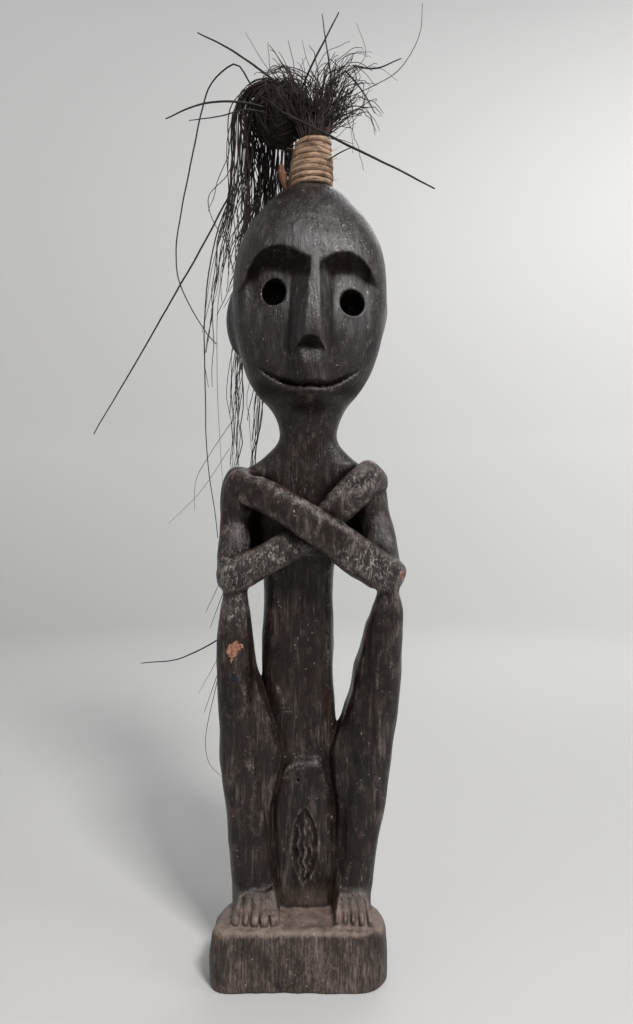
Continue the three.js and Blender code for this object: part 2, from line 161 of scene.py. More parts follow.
def lumps(axes, size, seed):
    """Smooth noise from about -1 to 1 on the grid of three axes. size is that of a lump."""
    sizes = np.broadcast_to(size, 3)
    spans = [(axis[-1] - axis[0]) / s for axis, s in zip(axes, sizes)]
    noise = np.random.default_rng(seed).uniform(-1, 1, [int(span) + 5 for span in spans])
    for k, (axis, s) in enumerate(zip(axes, sizes)):
        place = (axis - axis[0]) / s
        cell = place.astype(int)
        t = place - cell
        weights = np.zeros((len(axis), noise.shape[k]))
        spline = ((1 - t) ** 3, 3 * t**3 - 6 * t**2 + 4, -3 * t**3 + 3 * t**2 + 3 * t + 1, t**3)
        for offset, weight in enumerate(spline):
            weights[np.arange(len(axis)), cell + offset] = weight / 6
        noise = np.moveaxis(np.tensordot(weights, noise, (1, k)), 0, k)
    return noise * 2.2


def stack(sections, power):
    """A solid through level sections (x, y, z, half width, half depth), smooth up its height."""
    rows = curve_table(sorted(sections, key=lambda row: row[2]), 8)
    low = [(rows[:, k] - rows[:, k + 3]).min() for k in (0, 1)] + [rows[0, 2]]
    high = [(rows[:, k] + rows[:, k + 3]).max() for k in (0, 1)] + [rows[-1, 2]]

    def distance(x, y, z):
        cx, cy, a, b = (np.interp(z, rows[:, 2], rows[:, k]).astype(np.float32) for k in (0, 1, 3, 4))
        dx, dy = np.abs(x - cx), np.abs(y - cy)
        norm = ((dx / a) ** power + (dy / b) ** power) ** (1 / power) + TINY
        flat = np.hypot(dx, dy) * (1 - 1 / norm) - TINY * a
        return np.maximum(flat, np.maximum(z - high[2], low[2] - z)).astype(np.float32)

    return low, high, distance


def limb(sections, power=2.0):
    """A limb along a smooth path through sections (x, y, z, half width, half depth).

    The half depth is the one nearest to Y. A power of 2 makes it oval, and a higher one makes it squarer.
    """
    rows = curve_table(sections, 5)
    reach = rows[:, 3:].max()
    low, high = rows[:, :3].min(0) - reach, rows[:, :3].max(0) + reach

    def distance(x, y, z):
        best = None
        for p, q in zip(rows, rows[1:]):
            length = np.linalg.norm(q[:3] - p[:3])
            along = (q[:3] - p[:3]) / length
            across = np.cross(along, (0, 1, 0)) if abs(along[1]) < 0.95 else np.array((1.0, 0, 0))
            across = across / np.linalg.norm(across)
            run, u, v = (
                way[0] * (x - p[0]) + way[1] * (y - p[1]) + way[2] * (z - p[2])
                for way in np.float32((along, across, np.cross(across, along)))
            )
            t = np.clip(run / length, 0, 1)
            a, b = p[3] + t * (q[3] - p[3]), p[4] + t * (q[4] - p[4])
            past = run - t * length
            total = np.abs(u / a) ** power + np.abs(v / b) ** power + np.abs(past / a) ** power
            norm = total ** (1 / power) + TINY
            away = np.sqrt(u * u + v * v + past * past) * (1 - 1 / norm)
            best = away if best is None else np.minimum(best, away)
        return best.astype(np.float32)

    return low, high, distance


def slanted(shape, slope, x0):
    """The shape with its front and back turned: each step in x from x0 moves them back by slope."""
    low, high, plain = shape
    shifts = slope * (low[0] - x0), slope * (high[0] - x0)

    def distance(x, y, z):
        return plain(x, y - slope * (x - x0), z) / math.hypot(1, slope)

    low = (low[0], low[1] + min(shifts), low[2])
    high = (high[0], high[1] + max(shifts), high[2])
    return low, high, distance


def ellipsoid(centre, half):
    low, high = np.array(centre) - half, np.array(centre) + half

    def distance(x, y, z):
        offsets = [(v - c) / h for v, c, h in zip((x, y, z), centre, half)]
        norm = np.sqrt(sum(o * o for o in offsets)) + TINY
        length = np.sqrt(sum((o * h) ** 2 for o, h in zip(offsets, half)))
        return (length * (1 - 1 / norm)).astype(np.float32)

    return low, high, distance


def mesh_of(clay):
    """The clay's surface as vertices and quads (surface nets): a vertex in each cell that it crosses."""
    field, step = clay.field, clay.step
    inside = field < 0
    corners = [(i, j, k) for i in (0, 1) for j in (0, 1) for k in (0, 1)]
    nx, ny, nz = (n - 1 for n in field.shape)
    count = sum(inside[i : i + nx, j : j + ny, k : k + nz].astype(np.int8) for i, j, k in corners)
    cells = np.argwhere((count > 0) & (count < 8))
    values = np.stack([field[tuple((cells + c).T)] for c in corners], 1)
    total = np.zeros((len(cells), 3))
    crossings = np.zeros(len(cells))
    for a, ca in enumerate(corners):
        for b, cb in enumerate(corners[a + 1 :], a + 1):
            if np.abs(np.subtract(ca, cb)).sum() != 1:
                continue
            fa, fb = values[:, a], values[:, b]
            crossed = (fa < 0) != (fb < 0)
            t = np.where(crossed, fa / np.where(crossed, fa - fb, 1), 0)
            point = np.array(ca) + t[:, None] * (np.array(cb) - np.array(ca))
            total += np.where(crossed[:, None], point, 0)
            crossings += crossed
    vertices = clay.low + step * (cells + total / crossings[:, None])

    number = np.full((nx, ny, nz), -1, np.int32)
    number[tuple(cells.T)] = np.arange(len(cells))
    quads = []
    for axis in range(3):
        u, v = (axis + 1) % 3, (axis + 2) % 3
        ahead = np.moveaxis(inside, axis, 0)
        changes = np.argwhere(np.moveaxis(ahead[:-1] != ahead[1:], 0, axis))
        changes = changes[(changes[:, u] > 0) & (changes[:, v] > 0)]
        eu, ev = np.eye(3, dtype=int)[[u, v]]
        around = [changes - eu - ev, changes - ev, changes, changes - eu]
        quad = np.stack([number[tuple(c.T)] for c in around], 1)
        starts_inside = inside[tuple(changes.T)]
        quads.append(np.where(starts_inside[:, None], quad, quad[:, ::-1]))
    return vertices, np.vstack(quads)


def sample(field, clay, points):
    """A grid's value at points, in straight lines between grid points."""
    place = np.clip((points - clay.low) / clay.step, 0, np.array(field.shape) - 1.001)
    cell = place.astype(int)
    t = place - cell
    total = 0
    for corner in np.ndindex(2, 2, 2):
        weight = np.prod(np.where(corner, t, 1 - t), axis=1)
        total = total + weight * field[tuple((cell + corner).T)]
    return total


def blurred(field, reach):
    """Each grid value's mean over a box that reaches that many steps each way."""
    for axis in range(3):
        padding = [(reach + 1, reach) if k == axis else (0, 0) for k in range(3)]
        sums = np.cumsum(np.pad(field, padding, mode="edge"), axis=axis, dtype=np.float64)
        lower = np.arange(field.shape[axis])
        width = 2 * reach + 1
        total = np.take(sums, lower + width, axis=axis) - np.take(sums, lower, axis=axis)
        field = (total / width).astype(np.float32)
    return field


# ---- meshes and objects ----


def make_object(name, vertices, faces, material):
    """A smooth mesh object from vertices in millimetres."""
    mesh = bpy.data.meshes.new(name)
    mesh.from_pydata((np.asarray(vertices) * MM).tolist(), [], [list(map(int, f)) for f in faces])
    mesh.polygons.foreach_set("use_smooth", [True] * len(mesh.polygons))
    mesh.materials.append(material)
    mesh.update()
    made = bpy.data.objects.new(name, mesh)
    bpy.context.scene.collection.objects.link(made)
    return made


def add_attributes(made, **tables):
    """Numbers at the object's vertices, under their names, for its material."""
    for name, values in tables.items():
        attribute = made.data.attributes.new(name, "FLOAT", "POINT")
        attribute.data.foreach_set("value", np.asarray(values, np.float32))


def joined(first, second):
    """Two meshes (vertices, faces) as one."""
    faces = [*first[1], *([v + len(first[0]) for v in face] for face in second[1])]
    return np.vstack([first[0], second[0]]), faces


def unit(v):
    return v / np.maximum(np.linalg.norm(v, axis=-1, keepdims=True), 1e-9)


def sweep(paths, radii, sides=4, profile=None):
    """Tubes along paths (tube, point, 3) of radii (tube, point), closed at both ends: (vertices, faces).

    profile, if given, scales the radius round each ring: (tube, point, side).
    """
    tubes, points = paths.shape[:2]
    along = unit(np.gradient(paths, axis=1))
    start = np.where(np.abs(along[:, :1, 2:]) < 0.9, (0.0, 0, 1), (1.0, 0, 0))[:, 0]
    across = np.empty_like(paths)
    across[:, 0] = unit(np.cross(along[:, 0], start))
    for i in range(1, points):
        previous = across[:, i - 1]
        level = np.sum(previous * along[:, i], axis=1, keepdims=True)
        across[:, i] = unit(previous - level * along[:, i])
    other = np.cross(along, across)
    angle = 2 * np.pi * np.arange(sides) / sides
    turn = np.cos(angle)[:, None] * across[:, :, None] + np.sin(angle)[:, None] * other[:, :, None]
    reach = radii[:, :, None] if profile is None else radii[:, :, None] * profile
    vertices = (paths[:, :, None] + turn * reach[..., None]).reshape(-1, 3)
    tube, ring, side = np.indices((tubes, points - 1, sides))
    here = (tube * points + ring) * sides
    near, far = here + side, here + (side + 1) % sides
    faces = np.stack([near, far, far + sides, near + sides], -1).reshape(-1, 4).tolist()
    for first in np.arange(tubes) * points * sides:
        last = first + (points - 1) * sides
        faces.append([first + k for k in reversed(range(sides))])
        faces.append([last + k for k in range(sides)])
    return vertices, faces


# ---- materials ----


class Nodes:
    """A material's nodes, made by short calls.

    An input is a number, a colour or another node's output. In a call, i0 is a node's first socket, and a
    name that starts with _ is a setting of the node. colour is the colour so far.
    """

    def __init__(self, name):
        self.material = bpy.data.materials.new(name)
        self.material.use_nodes = True
        self.tree = self.material.node_tree
        self.shader = self.tree.nodes["Principled BSDF"]
        self.coordinates = self.add("ShaderNodeTexCoord").outputs["Object"]

    def add(self, kind, **inputs):
        node = self.tree.nodes.new(kind)
        self.feed(node, inputs)
        return node

    def feed(self, node, inputs):
        for key, value in inputs.items():
            if key.startswith("_"):
                setattr(node, key[1:], value)
                continue
            socket = node.inputs[int(key[1:]) if key[1:].isdigit() else key]
            if isinstance(value, bpy.types.NodeSocket):
                self.tree.links.new(value, socket)
            else:
                socket.default_value = value

    def set(self, **inputs):
        self.feed(self.shader, {key.replace("_", " "): value for key, value in inputs.items()})

    def attribute(self, name):
        return self.add("ShaderNodeAttribute", _attribute_name=name).outputs["Fac"]

    def stretched(self, scale, stretch):
        """The place in the object, in waves: scale of them to a metre, times stretch along each axis."""
        vector = tuple(scale * s for s in stretch)
        node = self.add("ShaderNodeVectorMath", _operation="MULTIPLY", i0=self.coordinates, i1=vector)
        return node.outputs[0]

    def noise(self, scale, stretch=(1, 1, 1), detail=4.0, roughness=0.5, distortion=0.0):
        """Noise between 0 and 1."""
        sizes = dict(Scale=1.0, Detail=detail, Roughness=roughness, Distortion=distortion)
        node = self.add("ShaderNodeTexNoise", Vector=self.stretched(scale, stretch), **sizes)
        return node.outputs["Fac"]

    def cracks(self, scale, stretch):
        """Distances from the edges of cells."""
        sizes = dict(_feature="DISTANCE_TO_EDGE", Scale=1.0)
        node = self.add("ShaderNodeTexVoronoi", Vector=self.stretched(scale, stretch), **sizes)
        return node.outputs["Distance"]

    def ramp(self, value, low, high, start=0.0, end=1.0):
        """value from low to high becomes start to end, and stays there outside."""
        node = self.add("ShaderNodeMapRange", i0=value, i1=low, i2=high, i3=start, i4=end)
        return node.outputs["Result"]

    def math(self, operation, a, b=0.0, clamp=False):
        return self.add("ShaderNodeMath", _operation=operation, _use_clamp=clamp, i0=a, i1=b).outputs[0]

    def times(self, a, b):
        return self.math("MULTIPLY", a, b)

    def mix(self, share, a, b):
        """Colour a turning to colour b as share goes from 0 to 1."""
        a, b = ((*colour, 1) if isinstance(colour, tuple) else colour for colour in (a, b))
        return self.add("ShaderNodeMix", _data_type="RGBA", i0=share, i6=a, i7=b).outputs[2]

    def coat(self, new, *shares):
        """Lays a new colour over the one so far, as far as the product of the shares."""
        self.colour = self.mix(reduce(self.times, shares), self.colour, new)

    def bumps(self, *layers):
        """Bumps the surface by layers of (height, strength, distance), one on top of the other."""
        below = {}
        for height, strength, distance in layers:
            below.update(Height=height, Strength=strength, Distance=distance)
            below = {"Normal": self.add("ShaderNodeBump", **below).outputs["Normal"]}
        self.set(**below)


def wood_material():
    """Black-stained wood, worn brown and dusty grey, with grain up the figure, scratches and chips, and
    painted shade in its hollows.
    """
    m = Nodes("stained_wood")
    broad = m.noise(26, (1, 1, 0.5), detail=3)
    patches = m.noise(70, (1, 1, 0.5), detail=6, roughness=0.65)
    blotches = m.noise(190, (1, 1, 0.6), detail=5, roughness=0.65)
    grain = m.noise(1000, (1, 1, 0.06), detail=5, roughness=0.65)
    streaks = m.noise(360, (1, 1, 0.07), detail=6, roughness=0.68, distortion=0.4)
    speckle = m.noise(800, (1, 1, 0.6), detail=4, roughness=0.7)
    wear, hollow, low, head = (m.attribute(name) for name in ("wear", "hollow", "low", "head"))

    m.colour = (0.0052, 0.0040, 0.0040)
    brown = m.math("ADD", m.ramp(broad, 0.42, 0.58), m.ramp(head, 0, 1, 0.45, -0.25), clamp=True)
    m.coat((0.0115, 0.0062, 0.0046), brown)
    stain_worn = m.mix(head, (0.025, 0.0155, 0.0122), (0.024, 0.0205, 0.0205))
    m.coat(stain_worn, m.ramp(patches, 0.47, 0.62), 0.65)
    m.coat((0.052, 0.037, 0.031), m.ramp(blotches, 0.52, 0.64), 0.55)
    dusty = m.mix(head, (0.112, 0.090, 0.082), (0.082, 0.080, 0.084))
    m.coat(dusty, m.ramp(streaks, 0.52, 0.66), m.ramp(patches, 0.40, 0.62), 0.75)
    m.coat((0.0022, 0.0017, 0.0016), m.ramp(grain, 0.50, 0.38), 0.85)
    # The base and the feet are rubbed down to a grey brown, and dust lies in their grain.
    m.coat((0.056, 0.038, 0.032), low, m.ramp(patches, 0.34, 0.6, 0.2, 1.0), 0.55)
    scuffs = m.noise(330, (1, 1, 0.4), detail=7, roughness=0.8, distortion=1.8)
    dust_lines = m.ramp(grain, 0.50, 0.60, 0, 0.45)
    rubs = m.math("ADD", m.ramp(scuffs, 0.47, 0.6, 0, 0.5), dust_lines, clamp=True)
    m.coat((0.26, 0.205, 0.175), low, m.times(rubs, m.ramp(patches, 0.34, 0.58)), 0.7)
    m.coat((0.225, 0.165, 0.138), m.attribute("dust"), m.ramp(blotches, 0.34, 0.62, 0.35, 1.0), 0.75)
    # Edges and ridges are rubbed pale.
    rubbed = m.mix(low, (0.18, 0.145, 0.13), (0.24, 0.18, 0.15))
    uneven = m.ramp(speckle, 0.40, 0.58), m.ramp(blotches, 0.42, 0.58, 0.25, 1.0)
    m.coat(rubbed, m.ramp(wear, 0.3, 0.9), *uneven, 0.85)
    # Elbows, knees and hands are crackled and scuffed.
    crackle = m.attribute("crackle")
    m.coat((0.42, 0.37, 0.34), crackle, m.ramp(scuffs, 0.53, 0.58), 0.85)
    # Short pale scratches and specks.
    scratch = m.noise(230, (1.0, 1.0, 0.13), detail=7, roughness=0.8, distortion=1.2)
    m.coat((0.36, 0.335, 0.32), m.ramp(scratch, 0.635, 0.68), m.ramp(patches, 0.4, 0.6), 0.8)
    specks = m.ramp(m.noise(520, detail=2), 0.68, 0.73)
    m.coat((0.42, 0.40, 0.39), specks, m.ramp(blotches, 0.48, 0.62), 0.7)
    # Painted shade: near black in hollows and creases, under the brows and under the head's overhangs.
    m.coat((0.0042, 0.0028, 0.0024), m.ramp(hollow, 0.2, 0.95), 0.88)
    # Chips through the stain, to the orange wood, and a blue-black spot.
    torn = m.math("ADD", m.attribute("chip"), m.ramp(speckle, 0.3, 0.7, -0.45, 0.45))
    bare = m.mix(m.ramp(speckle, 0.38, 0.6), (0.15, 0.058, 0.036), (0.34, 0.165, 0.11))
    m.coat(bare, m.ramp(torn, 0.50, 0.58))
    m.coat((0.004, 0.006, 0.020), m.ramp(m.attribute("stain"), 0.45, 0.8), 0.7)

    rough = m.math("ADD", m.times(speckle, 0.5), m.times(patches, 0.5))
    rough = m.math("ADD", m.ramp(rough, 0.36, 0.62, 0.21, 0.44), m.times(hollow, 0.3))
    sheen = m.math("ADD", m.ramp(head, 0, 1, 0.3, 0.44), m.times(crackle, 0.25))
    m.set(
        Base_Color=m.colour,
        Roughness=m.math("ADD", rough, m.times(low, 0.2), clamp=True),
        Specular_IOR_Level=m.times(m.ramp(hollow, 0.0, 0.8, 1.0, 0.12), sheen),
    )
    m.bumps(
        (m.times(m.ramp(m.cracks(560, (1, 1, 0.55)), 0.0, 0.2), crackle), 0.55, 0.0005),
        (m.times(scuffs, crackle), 1.0, 0.0024),
        (grain, 0.6, 0.0003),
        (streaks, 0.7, 0.0008),
        (blotches, 0.5, 0.0014),
        (speckle, 0.55, 0.0004),
    )
    return m.material


def fibre_material():
    """Stiff dark palm fibre: near black, browner in places, with a slight sheen."""
    m = Nodes("palm_fibre")
    mottle = m.noise(160, detail=3)
    m.colour = (0.005, 0.003, 0.003)
    m.coat((0.03, 0.016, 0.014), m.attribute("tone"))
    m.coat((0.042, 0.026, 0.022), m.ramp(mottle, 0.5, 0.7), 0.4)
    m.set(Base_Color=m.colour, Roughness=m.ramp(mottle, 0.3, 0.7, 0.5, 0.68), Specular_IOR_Level=0.3)
    m.bumps((m.noise(2500, (1, 1, 0.1), detail=2), 0.3, 0.0002))
    return m.material


def cane_material():
    """Split cane: tan, fibrous along its length, dark in its cracks.

    The attributes along and round are lengths in millimetres, and shade is 1 on the tucked end.
    """
    m = Nodes("split_cane")
    along, around = m.times(m.attribute("along"), 0.12), m.times(m.attribute("round"), 1.7)
    place = m.add("ShaderNodeCombineXYZ", X=along, Y=around, Z=0.0).outputs[0]

    def fibres(scale, detail, roughness):
        sizes = dict(Scale=scale, Detail=detail, Roughness=roughness)
        return m.add("ShaderNodeTexNoise", Vector=place, **sizes).outputs["Fac"]

    fibre, finer = fibres(1.0, 5.0, 0.65), fibres(3.1, 3.0, 0.6)
    m.colour = (0.21, 0.122, 0.070)
    m.coat((0.41, 0.28, 0.19), m.ramp(m.noise(120, detail=3), 0.35, 0.65))
    m.coat((0.62, 0.47, 0.34), m.ramp(finer, 0.5, 0.7), 0.6)
    m.coat((0.075, 0.038, 0.022), m.ramp(fibre, 0.50, 0.39))
    m.coat((0.17, 0.06, 0.028), m.attribute("shade"), 0.75)
    m.set(Base_Color=m.colour, Roughness=m.ramp(fibre, 0.3, 0.7, 0.85, 0.6), Specular_IOR_Level=0.35)
    m.bumps((fibre, 1.0, 0.0009), (finer, 0.5, 0.0003))
    return m.material


def stage_material():
    m = Nodes("paper_sweep")
    height = m.add("ShaderNodeSeparateXYZ", Vector=m.coordinates).outputs["Z"]
    # Painted light: the paper is darker on the floor and lighter up the wall, so that the floor under the
    # strong top light and the wall high up, where less light reaches, look about equally bright.
    lower = m.mix(m.ramp(height, 0.0, 0.5), (0.50, 0.497, 0.49), (0.62, 0.617, 0.61))
    m.set(Base_Color=m.mix(m.ramp(height, 0.6, 2.0), lower, (0.80, 0.795, 0.785)), Roughness=0.85)
    return m.material


WOOD, FIBRE, CANE = wood_material(), fibre_material(), cane_material()


# ---- the carving ----

BASE_HEIGHT = 36
CROWN_X, CROWN_Y, CROWN_Z = 6.5, 1.5, 492  # the middle of the flat round the socket
SOCKET_RADIUS, SOCKET_FLOOR = 9.4, 468
BODY = [
    (0, 13, 26, 27, 18), (0, 13, 70, 29, 19), (0, 13, 105, 28, 18), (-1, 12.5, 140, 24.8, 15),
    (-2, 12, 175, 22.8, 13.2), (-2, 11.5, 205, 22.8, 13), (-2, 11, 235, 22.9, 13.2),
    (-1, 10, 270, 24, 14),
]
CHEST = [
    (0, 9.5, 260, 22, 13), (0.5, 9, 270, 30, 14.5), (2, 8, 284, 38, 16), (3, 7, 300, 45, 15.5),
    (3.4, 6, 312, 40, 14.5), (4, 5.5, 321, 29, 14), (4.5, 5, 331, 19.8, 14.5), (4.8, 4, 343, 18.6, 16),
    (5, 2, 358, 22, 18),
]
SHOULDER_WEB = [
    (-2, 10, 254, 32, 6), (-1, 9.5, 260, 40, 7), (3, 8.5, 270, 45, 8.5), (4, 7, 300, 47, 10.5),
]
HEAD = [
    (5, 4.4, 325, 4.5, 4.5), (5, 3.8, 335, 12, 11.5), (5, 3, 344, 18, 17), (5.1, 1, 352, 24, 21.5),
    (5.2, -0.5, 361, 32, 26), (5.3, -1.5, 372, 38.6, 30), (5.6, -2, 383, 42.4, 33),
    (5.6, -2.5, 394, 45.3, 35), (5.8, -2.5, 405, 47.2, 36.3), (6.2, -2, 416, 48.2, 36.8),
    (6.2, -1.5, 427, 48.4, 36.8), (6.1, -1, 438, 47.9, 36.5), (6.1, -0.5, 449, 46, 35.5),
    (6.4, 0.5, 460, 42.6, 33), (6.6, 1, 470, 37.5, 29.5), (6.6, 1.5, 480, 29.5, 24.5),
    (6.6, 1.5, 487, 22.5, 19.5), (6.6, 1.5, 492, 15.5, 15),
]
SHIN_LEFT = [
    (-28.5, -5, 33, 14.8, 13), (-28.5, -5, 46, 14.5, 12.5), (-31.7, -5, 80, 13.9, 12.5),
    (-36.8, -6, 117, 12.3, 13), (-39.8, -8, 160, 11.7, 13), (-40.9, -11, 200, 11.4, 12),
    (-40.4, -13, 224, 9.6, 10.4), (-40.2, -14, 233, 8, 8.4), (-40.2, -14, 243, 7.6, 8),
]
SHIN_RIGHT = [
    (33, -5, 33, 12.4, 13), (33, -5, 46, 12, 12.5), (38.6, -5, 80, 11.8, 12.5), (43, -6, 117, 12.1, 13),
    (48.8, -8, 160, 12.3, 13), (52.6, -11, 200, 11.4, 12), (54, -13, 225, 9.6, 10.4),
    (54.8, -14, 233, 6.6, 7.6), (55, -14, 243, 6.2, 7.2),
]
THIGH_LEFT = [
    (-40, -6, 221, 8.5, 10), (-39.5, 3, 196, 9.4, 12), (-36, 9, 172, 10.5, 13), (-27, 12, 146, 13.5, 14),
    (-19, 14, 112, 15, 15), (-14, 15, 70, 15, 15),
]
THIGH_RIGHT = [
    (53, -6, 219, 8.5, 10), (50, 1, 196, 9.8, 12), (44, 8, 164, 11.8, 13.6), (35, 12, 138, 13, 14),
    (24, 14, 106, 15, 15), (15, 15, 70, 15, 15),
]
# The flat inner planes of the legs, from the thighs down to the insteps.
INNER_LEFT = [
    (-27, -1, 30, 12.5, 12), (-26, -1, 60, 12, 12.5), (-28, -1, 98, 10.5, 13.5), (-24.5, -1, 116, 11, 15),
    (-24, -1, 135, 12.5, 16), (-29, -1, 152, 11.5, 16), (-33, -2, 172, 9, 14.5),
    (-36.5, -3, 190, 6.5, 12), (-39, -5, 204, 3.5, 8),
]
INNER_RIGHT = [
    (31.5, -2, 30, 11.5, 12), (31, -2, 62, 11.5, 13.5), (33.5, -2, 98, 11.5, 14.5),
    (33, -2, 117, 12.5, 16), (35, -3, 135, 15, 17), (41, -3, 154, 14, 17), (45, -4, 172, 13, 16),
    (47.8, -5, 196, 11, 14), (51, -6, 212, 10.4, 12), (53.3, -9, 226, 8, 9), (54.2, -12, 236, 5, 6),
]
ARM_LEFT = [(-38, 3, 303, 10.2, 12), (-41.5, -5, 274, 10, 11), (-40.5, -15, 247, 11, 11)]
ARM_RIGHT = [(41.6, 3, 303, 10.2, 12), (48.6, -5, 274, 10, 11), (52, -15, 248, 11, 11)]
# The right forearm lies over the left one and reaches the left shoulder.
FOREARM_RIGHT = [
    (50.6, -18, 248.5, 12.4, 9.6), (31, -24.5, 262, 12, 9.4), (9, -27.5, 278, 10.4, 9.0),
    (-16, -21.5, 293, 10.4, 9.0), (-35.6, -9, 301, 10.6, 9.6),
]
FOREARM_LEFT = [
    (-39, -18, 247, 10.8, 9), (-18, -20, 258.5, 9.6, 8.2), (6, -18, 273, 9.2, 7.8),
    (30, -15, 295, 10.4, 8), (41.6, -9, 306, 10.6, 9.5),
]
FINGERS = [
    [(28, -18, 301, 4, 4), (37.5, -17, 309, 4.4, 4), (45.5, -9, 311, 4.2, 4)],
    [(36, -21, 298, 3.6, 3), (44.5, -17, 303, 4, 3.6), (50.5, -8, 303, 4, 4)],
]
PANEL = [
    (2.5, 3, 30, 21, 12), (2.5, 3, 70, 21, 12.6), (2.4, 2.6, 98, 20.5, 12.8), (2.2, 2.8, 112, 18.2, 12.6),
    (2.6, 3.2, 120, 15.6, 12), (3.6, 4, 127, 11.4, 11), (5, 6, 132, 6, 8),
]
# Lines cut into the wood, with how far each is rounded: across the belly, on the apron's ledge, and beside
# the left thigh and the apron.
CREASES = [
    (0.4, [(-22, 0.2, 157, 0.4, 0.5), (-8, -2.0, 159, 0.5, 0.6), (8, -2.0, 157, 0.3, 0.4)]),
    (0.6, [(-9.5, -8.0, 120, 0.7, 0.9), (-4, -9.0, 123.4, 0.9, 1.3), (2, -8.2, 125.6, 0.5, 0.8)]),
    (0.8, [(-28.4, -19.5, 176, 0.5, 0.9), (-28.2, -19, 150, 0.7, 1.1), (-27.4, -18.4, 122, 0.5, 0.9)]),
    (0.8, [(20.6, -9.6, 128, 0.8, 1.2), (21.8, -10, 98, 0.9, 1.4), (20, -10, 56, 0.7, 1.1)]),
]
LENS = (3.0, 76, 8.2, 24)  # x, z, half width, half height
FEET = ((-26.6, 27.5), (32.6, 23))  # x of the middle, width
TOES = 5

# The face, as lines of (x, z) across it.
LEFT_BROW_TOP = [
    (-36, 424), (-30.2, 435.3), (-26, 441.3), (-20, 444.9), (-14, 446), (-8, 445), (-2.2, 442),
    (3, 439.5), (9, 437),
]
LEFT_BROW_FOOT = [(-36, 421), (-29, 430), (-22.4, 433), (-15.3, 433), (-8, 430.6), (-2.2, 429), (9, 425)]
RIGHT_BROW_TOP = [
    (8, 432), (12.1, 434.6), (16.8, 438), (24, 441), (31.1, 441.6), (37.1, 439), (41.2, 435.3), (47, 426),
]
RIGHT_BROW_FOOT = [
    (8, 427), (14.5, 429.4), (21.6, 430), (28.7, 430), (35.9, 429.4), (41.8, 427), (47, 423),
]
MOUTH_LINE = [
    (-32, 378.4), (-24.4, 373.2), (-15.5, 367.3), (-4.7, 362.9), (6.1, 361), (16.9, 362.2), (26.5, 366.3),
    (33.7, 370.6), (41, 376.6),
]
EYES = ((-15.5, 419.5, 7.3, 8.3), (31.9, 412.5, 7.5, 7.9))  # x, z, half width, half height


def between(ends, x):
    """1 between the middle two of four ends, and 0 outside the outer two."""
    return smoothstep(ends[0], ends[1], x) * smoothstep(ends[3], ends[2], x)


def brow_hollow(x, z, top, foot, ends, depth):
    """How far the face stands back under a brow: a sloping underside, then a plane that comes forward."""
    upper, lower = line(top, x), line(foot, x)
    under = np.clip((upper - z) / np.maximum(upper - lower, 2.0), 0, 1)
    plane = 0.3 + 0.7 * smoothstep(384, 432, z)
    return depth * under * between(ends, x) * plane * smoothstep(368, 388, z)


def brow_shade(x, z):
    """The share of the painted shade on a brow's underside at (x, z)."""
    share = 0
    for top, foot, ends in (
        (LEFT_BROW_TOP, LEFT_BROW_FOOT, (-36, -30, 6, 8)),
        (RIGHT_BROW_TOP, RIGHT_BROW_FOOT, (11, 13, 42, 46)),
    ):
        upper, lower = line(top, x), line(foot, x)
        band = smoothstep(upper + 0.6, upper - 0.8, z) * smoothstep(lower - 4.0, lower + 3.0, z)
        share = np.maximum(share, band * between(ends, x))
    return share


def face_relief(x, z):
    """How far the front of the head stands back from its plain oval at (x, z)."""
    left = brow_hollow(x, z, LEFT_BROW_TOP, LEFT_BROW_FOOT, (-41, -27, 2, 12), 9.4)
    right = brow_hollow(x, z, RIGHT_BROW_TOP, RIGHT_BROW_FOOT, (4, 12, 40, 50), 7.6)
    relief = np.maximum(left, right)

    # The muzzle: a flat that comes forward down to the mouth, with a facet on each side of it.
    flat_left = np.interp(z, (362, 384), (6.0, -1.0))
    flat_right = np.interp(z, (362, 384), (7.0, 15.0))
    muzzle = -1.0 - 0.40 * np.clip(384 - z, -6, 21)
    muzzle = muzzle + 0.72 * np.maximum(flat_left - x, 0) + 0.60 * np.maximum(x - flat_right, 0)
    muzzle = muzzle + 9 * smoothstep(386, 402, z) + 9 * smoothstep(360, 350, z)
    relief = smooth_min(relief, muzzle, 1.6)

    # The nose: a flat ridge that widens downwards, steep sides, and an underside that slopes back.
    ridge_left = np.interp(z, (386, 395, 415, 438), (2.2, 3.0, 5.0, 7.4))
    ridge_right = np.interp(z, (386, 400, 415, 438), (12.2, 12.4, 12.2, 11.6))
    forward = np.interp(z, (388, 394, 440, 444), (-6.6, -6.2, 0.0, 0.0))
    tip = 390.4 - 0.05 * (x - 6) ** 2
    nose = np.maximum(forward, forward + 1.05 * (ridge_left - x))
    nose = np.maximum(nose, forward + 1.2 * (x - ridge_right))
    nose = np.maximum(nose, forward + 1.15 * (tip - z))
    nose = nose + 20 * smoothstep(441, 446, z) + 20 * smoothstep(382, 377, z)
    relief = smooth_min(relief, nose, 0.7)

    # The mouth: the upper lip turns under into a groove, the lower lip stands out, the chin goes back.
    across = between((-32, -23, 33, 41), x)
    above = z - line(MOUTH_LINE, x)
    middle = np.exp(-(((x - 6) / 17) ** 2))
    turned = np.clip(1 - above / (1.8 + 3.2 * middle), 0, 1) * (above > 0)
    relief += across * (1.1 + 2.4 * middle) * turned**1.2
    below = np.clip(1 + above / 2.6, 0, 1) * (above <= 0)
    relief += across * (1.0 + 1.9 * middle) * below
    relief += across * 1.0 * np.exp(-((above / 0.9) ** 2))
    relief -= across * (1.6 + 1.8 * middle) * smoothstep(-15, -5.5, above) * (above <= 0)
    relief += 2.4 * across * np.exp(-(((above + 13) / 5.0) ** 2))

    for ex, ez, a, b in EYES:
        ratio = np.hypot((x - ex) / a, (z - ez) / b)
        relief -= 0.3 * np.exp(-(((ratio - 1.12) / 0.09) ** 2))
    return relief


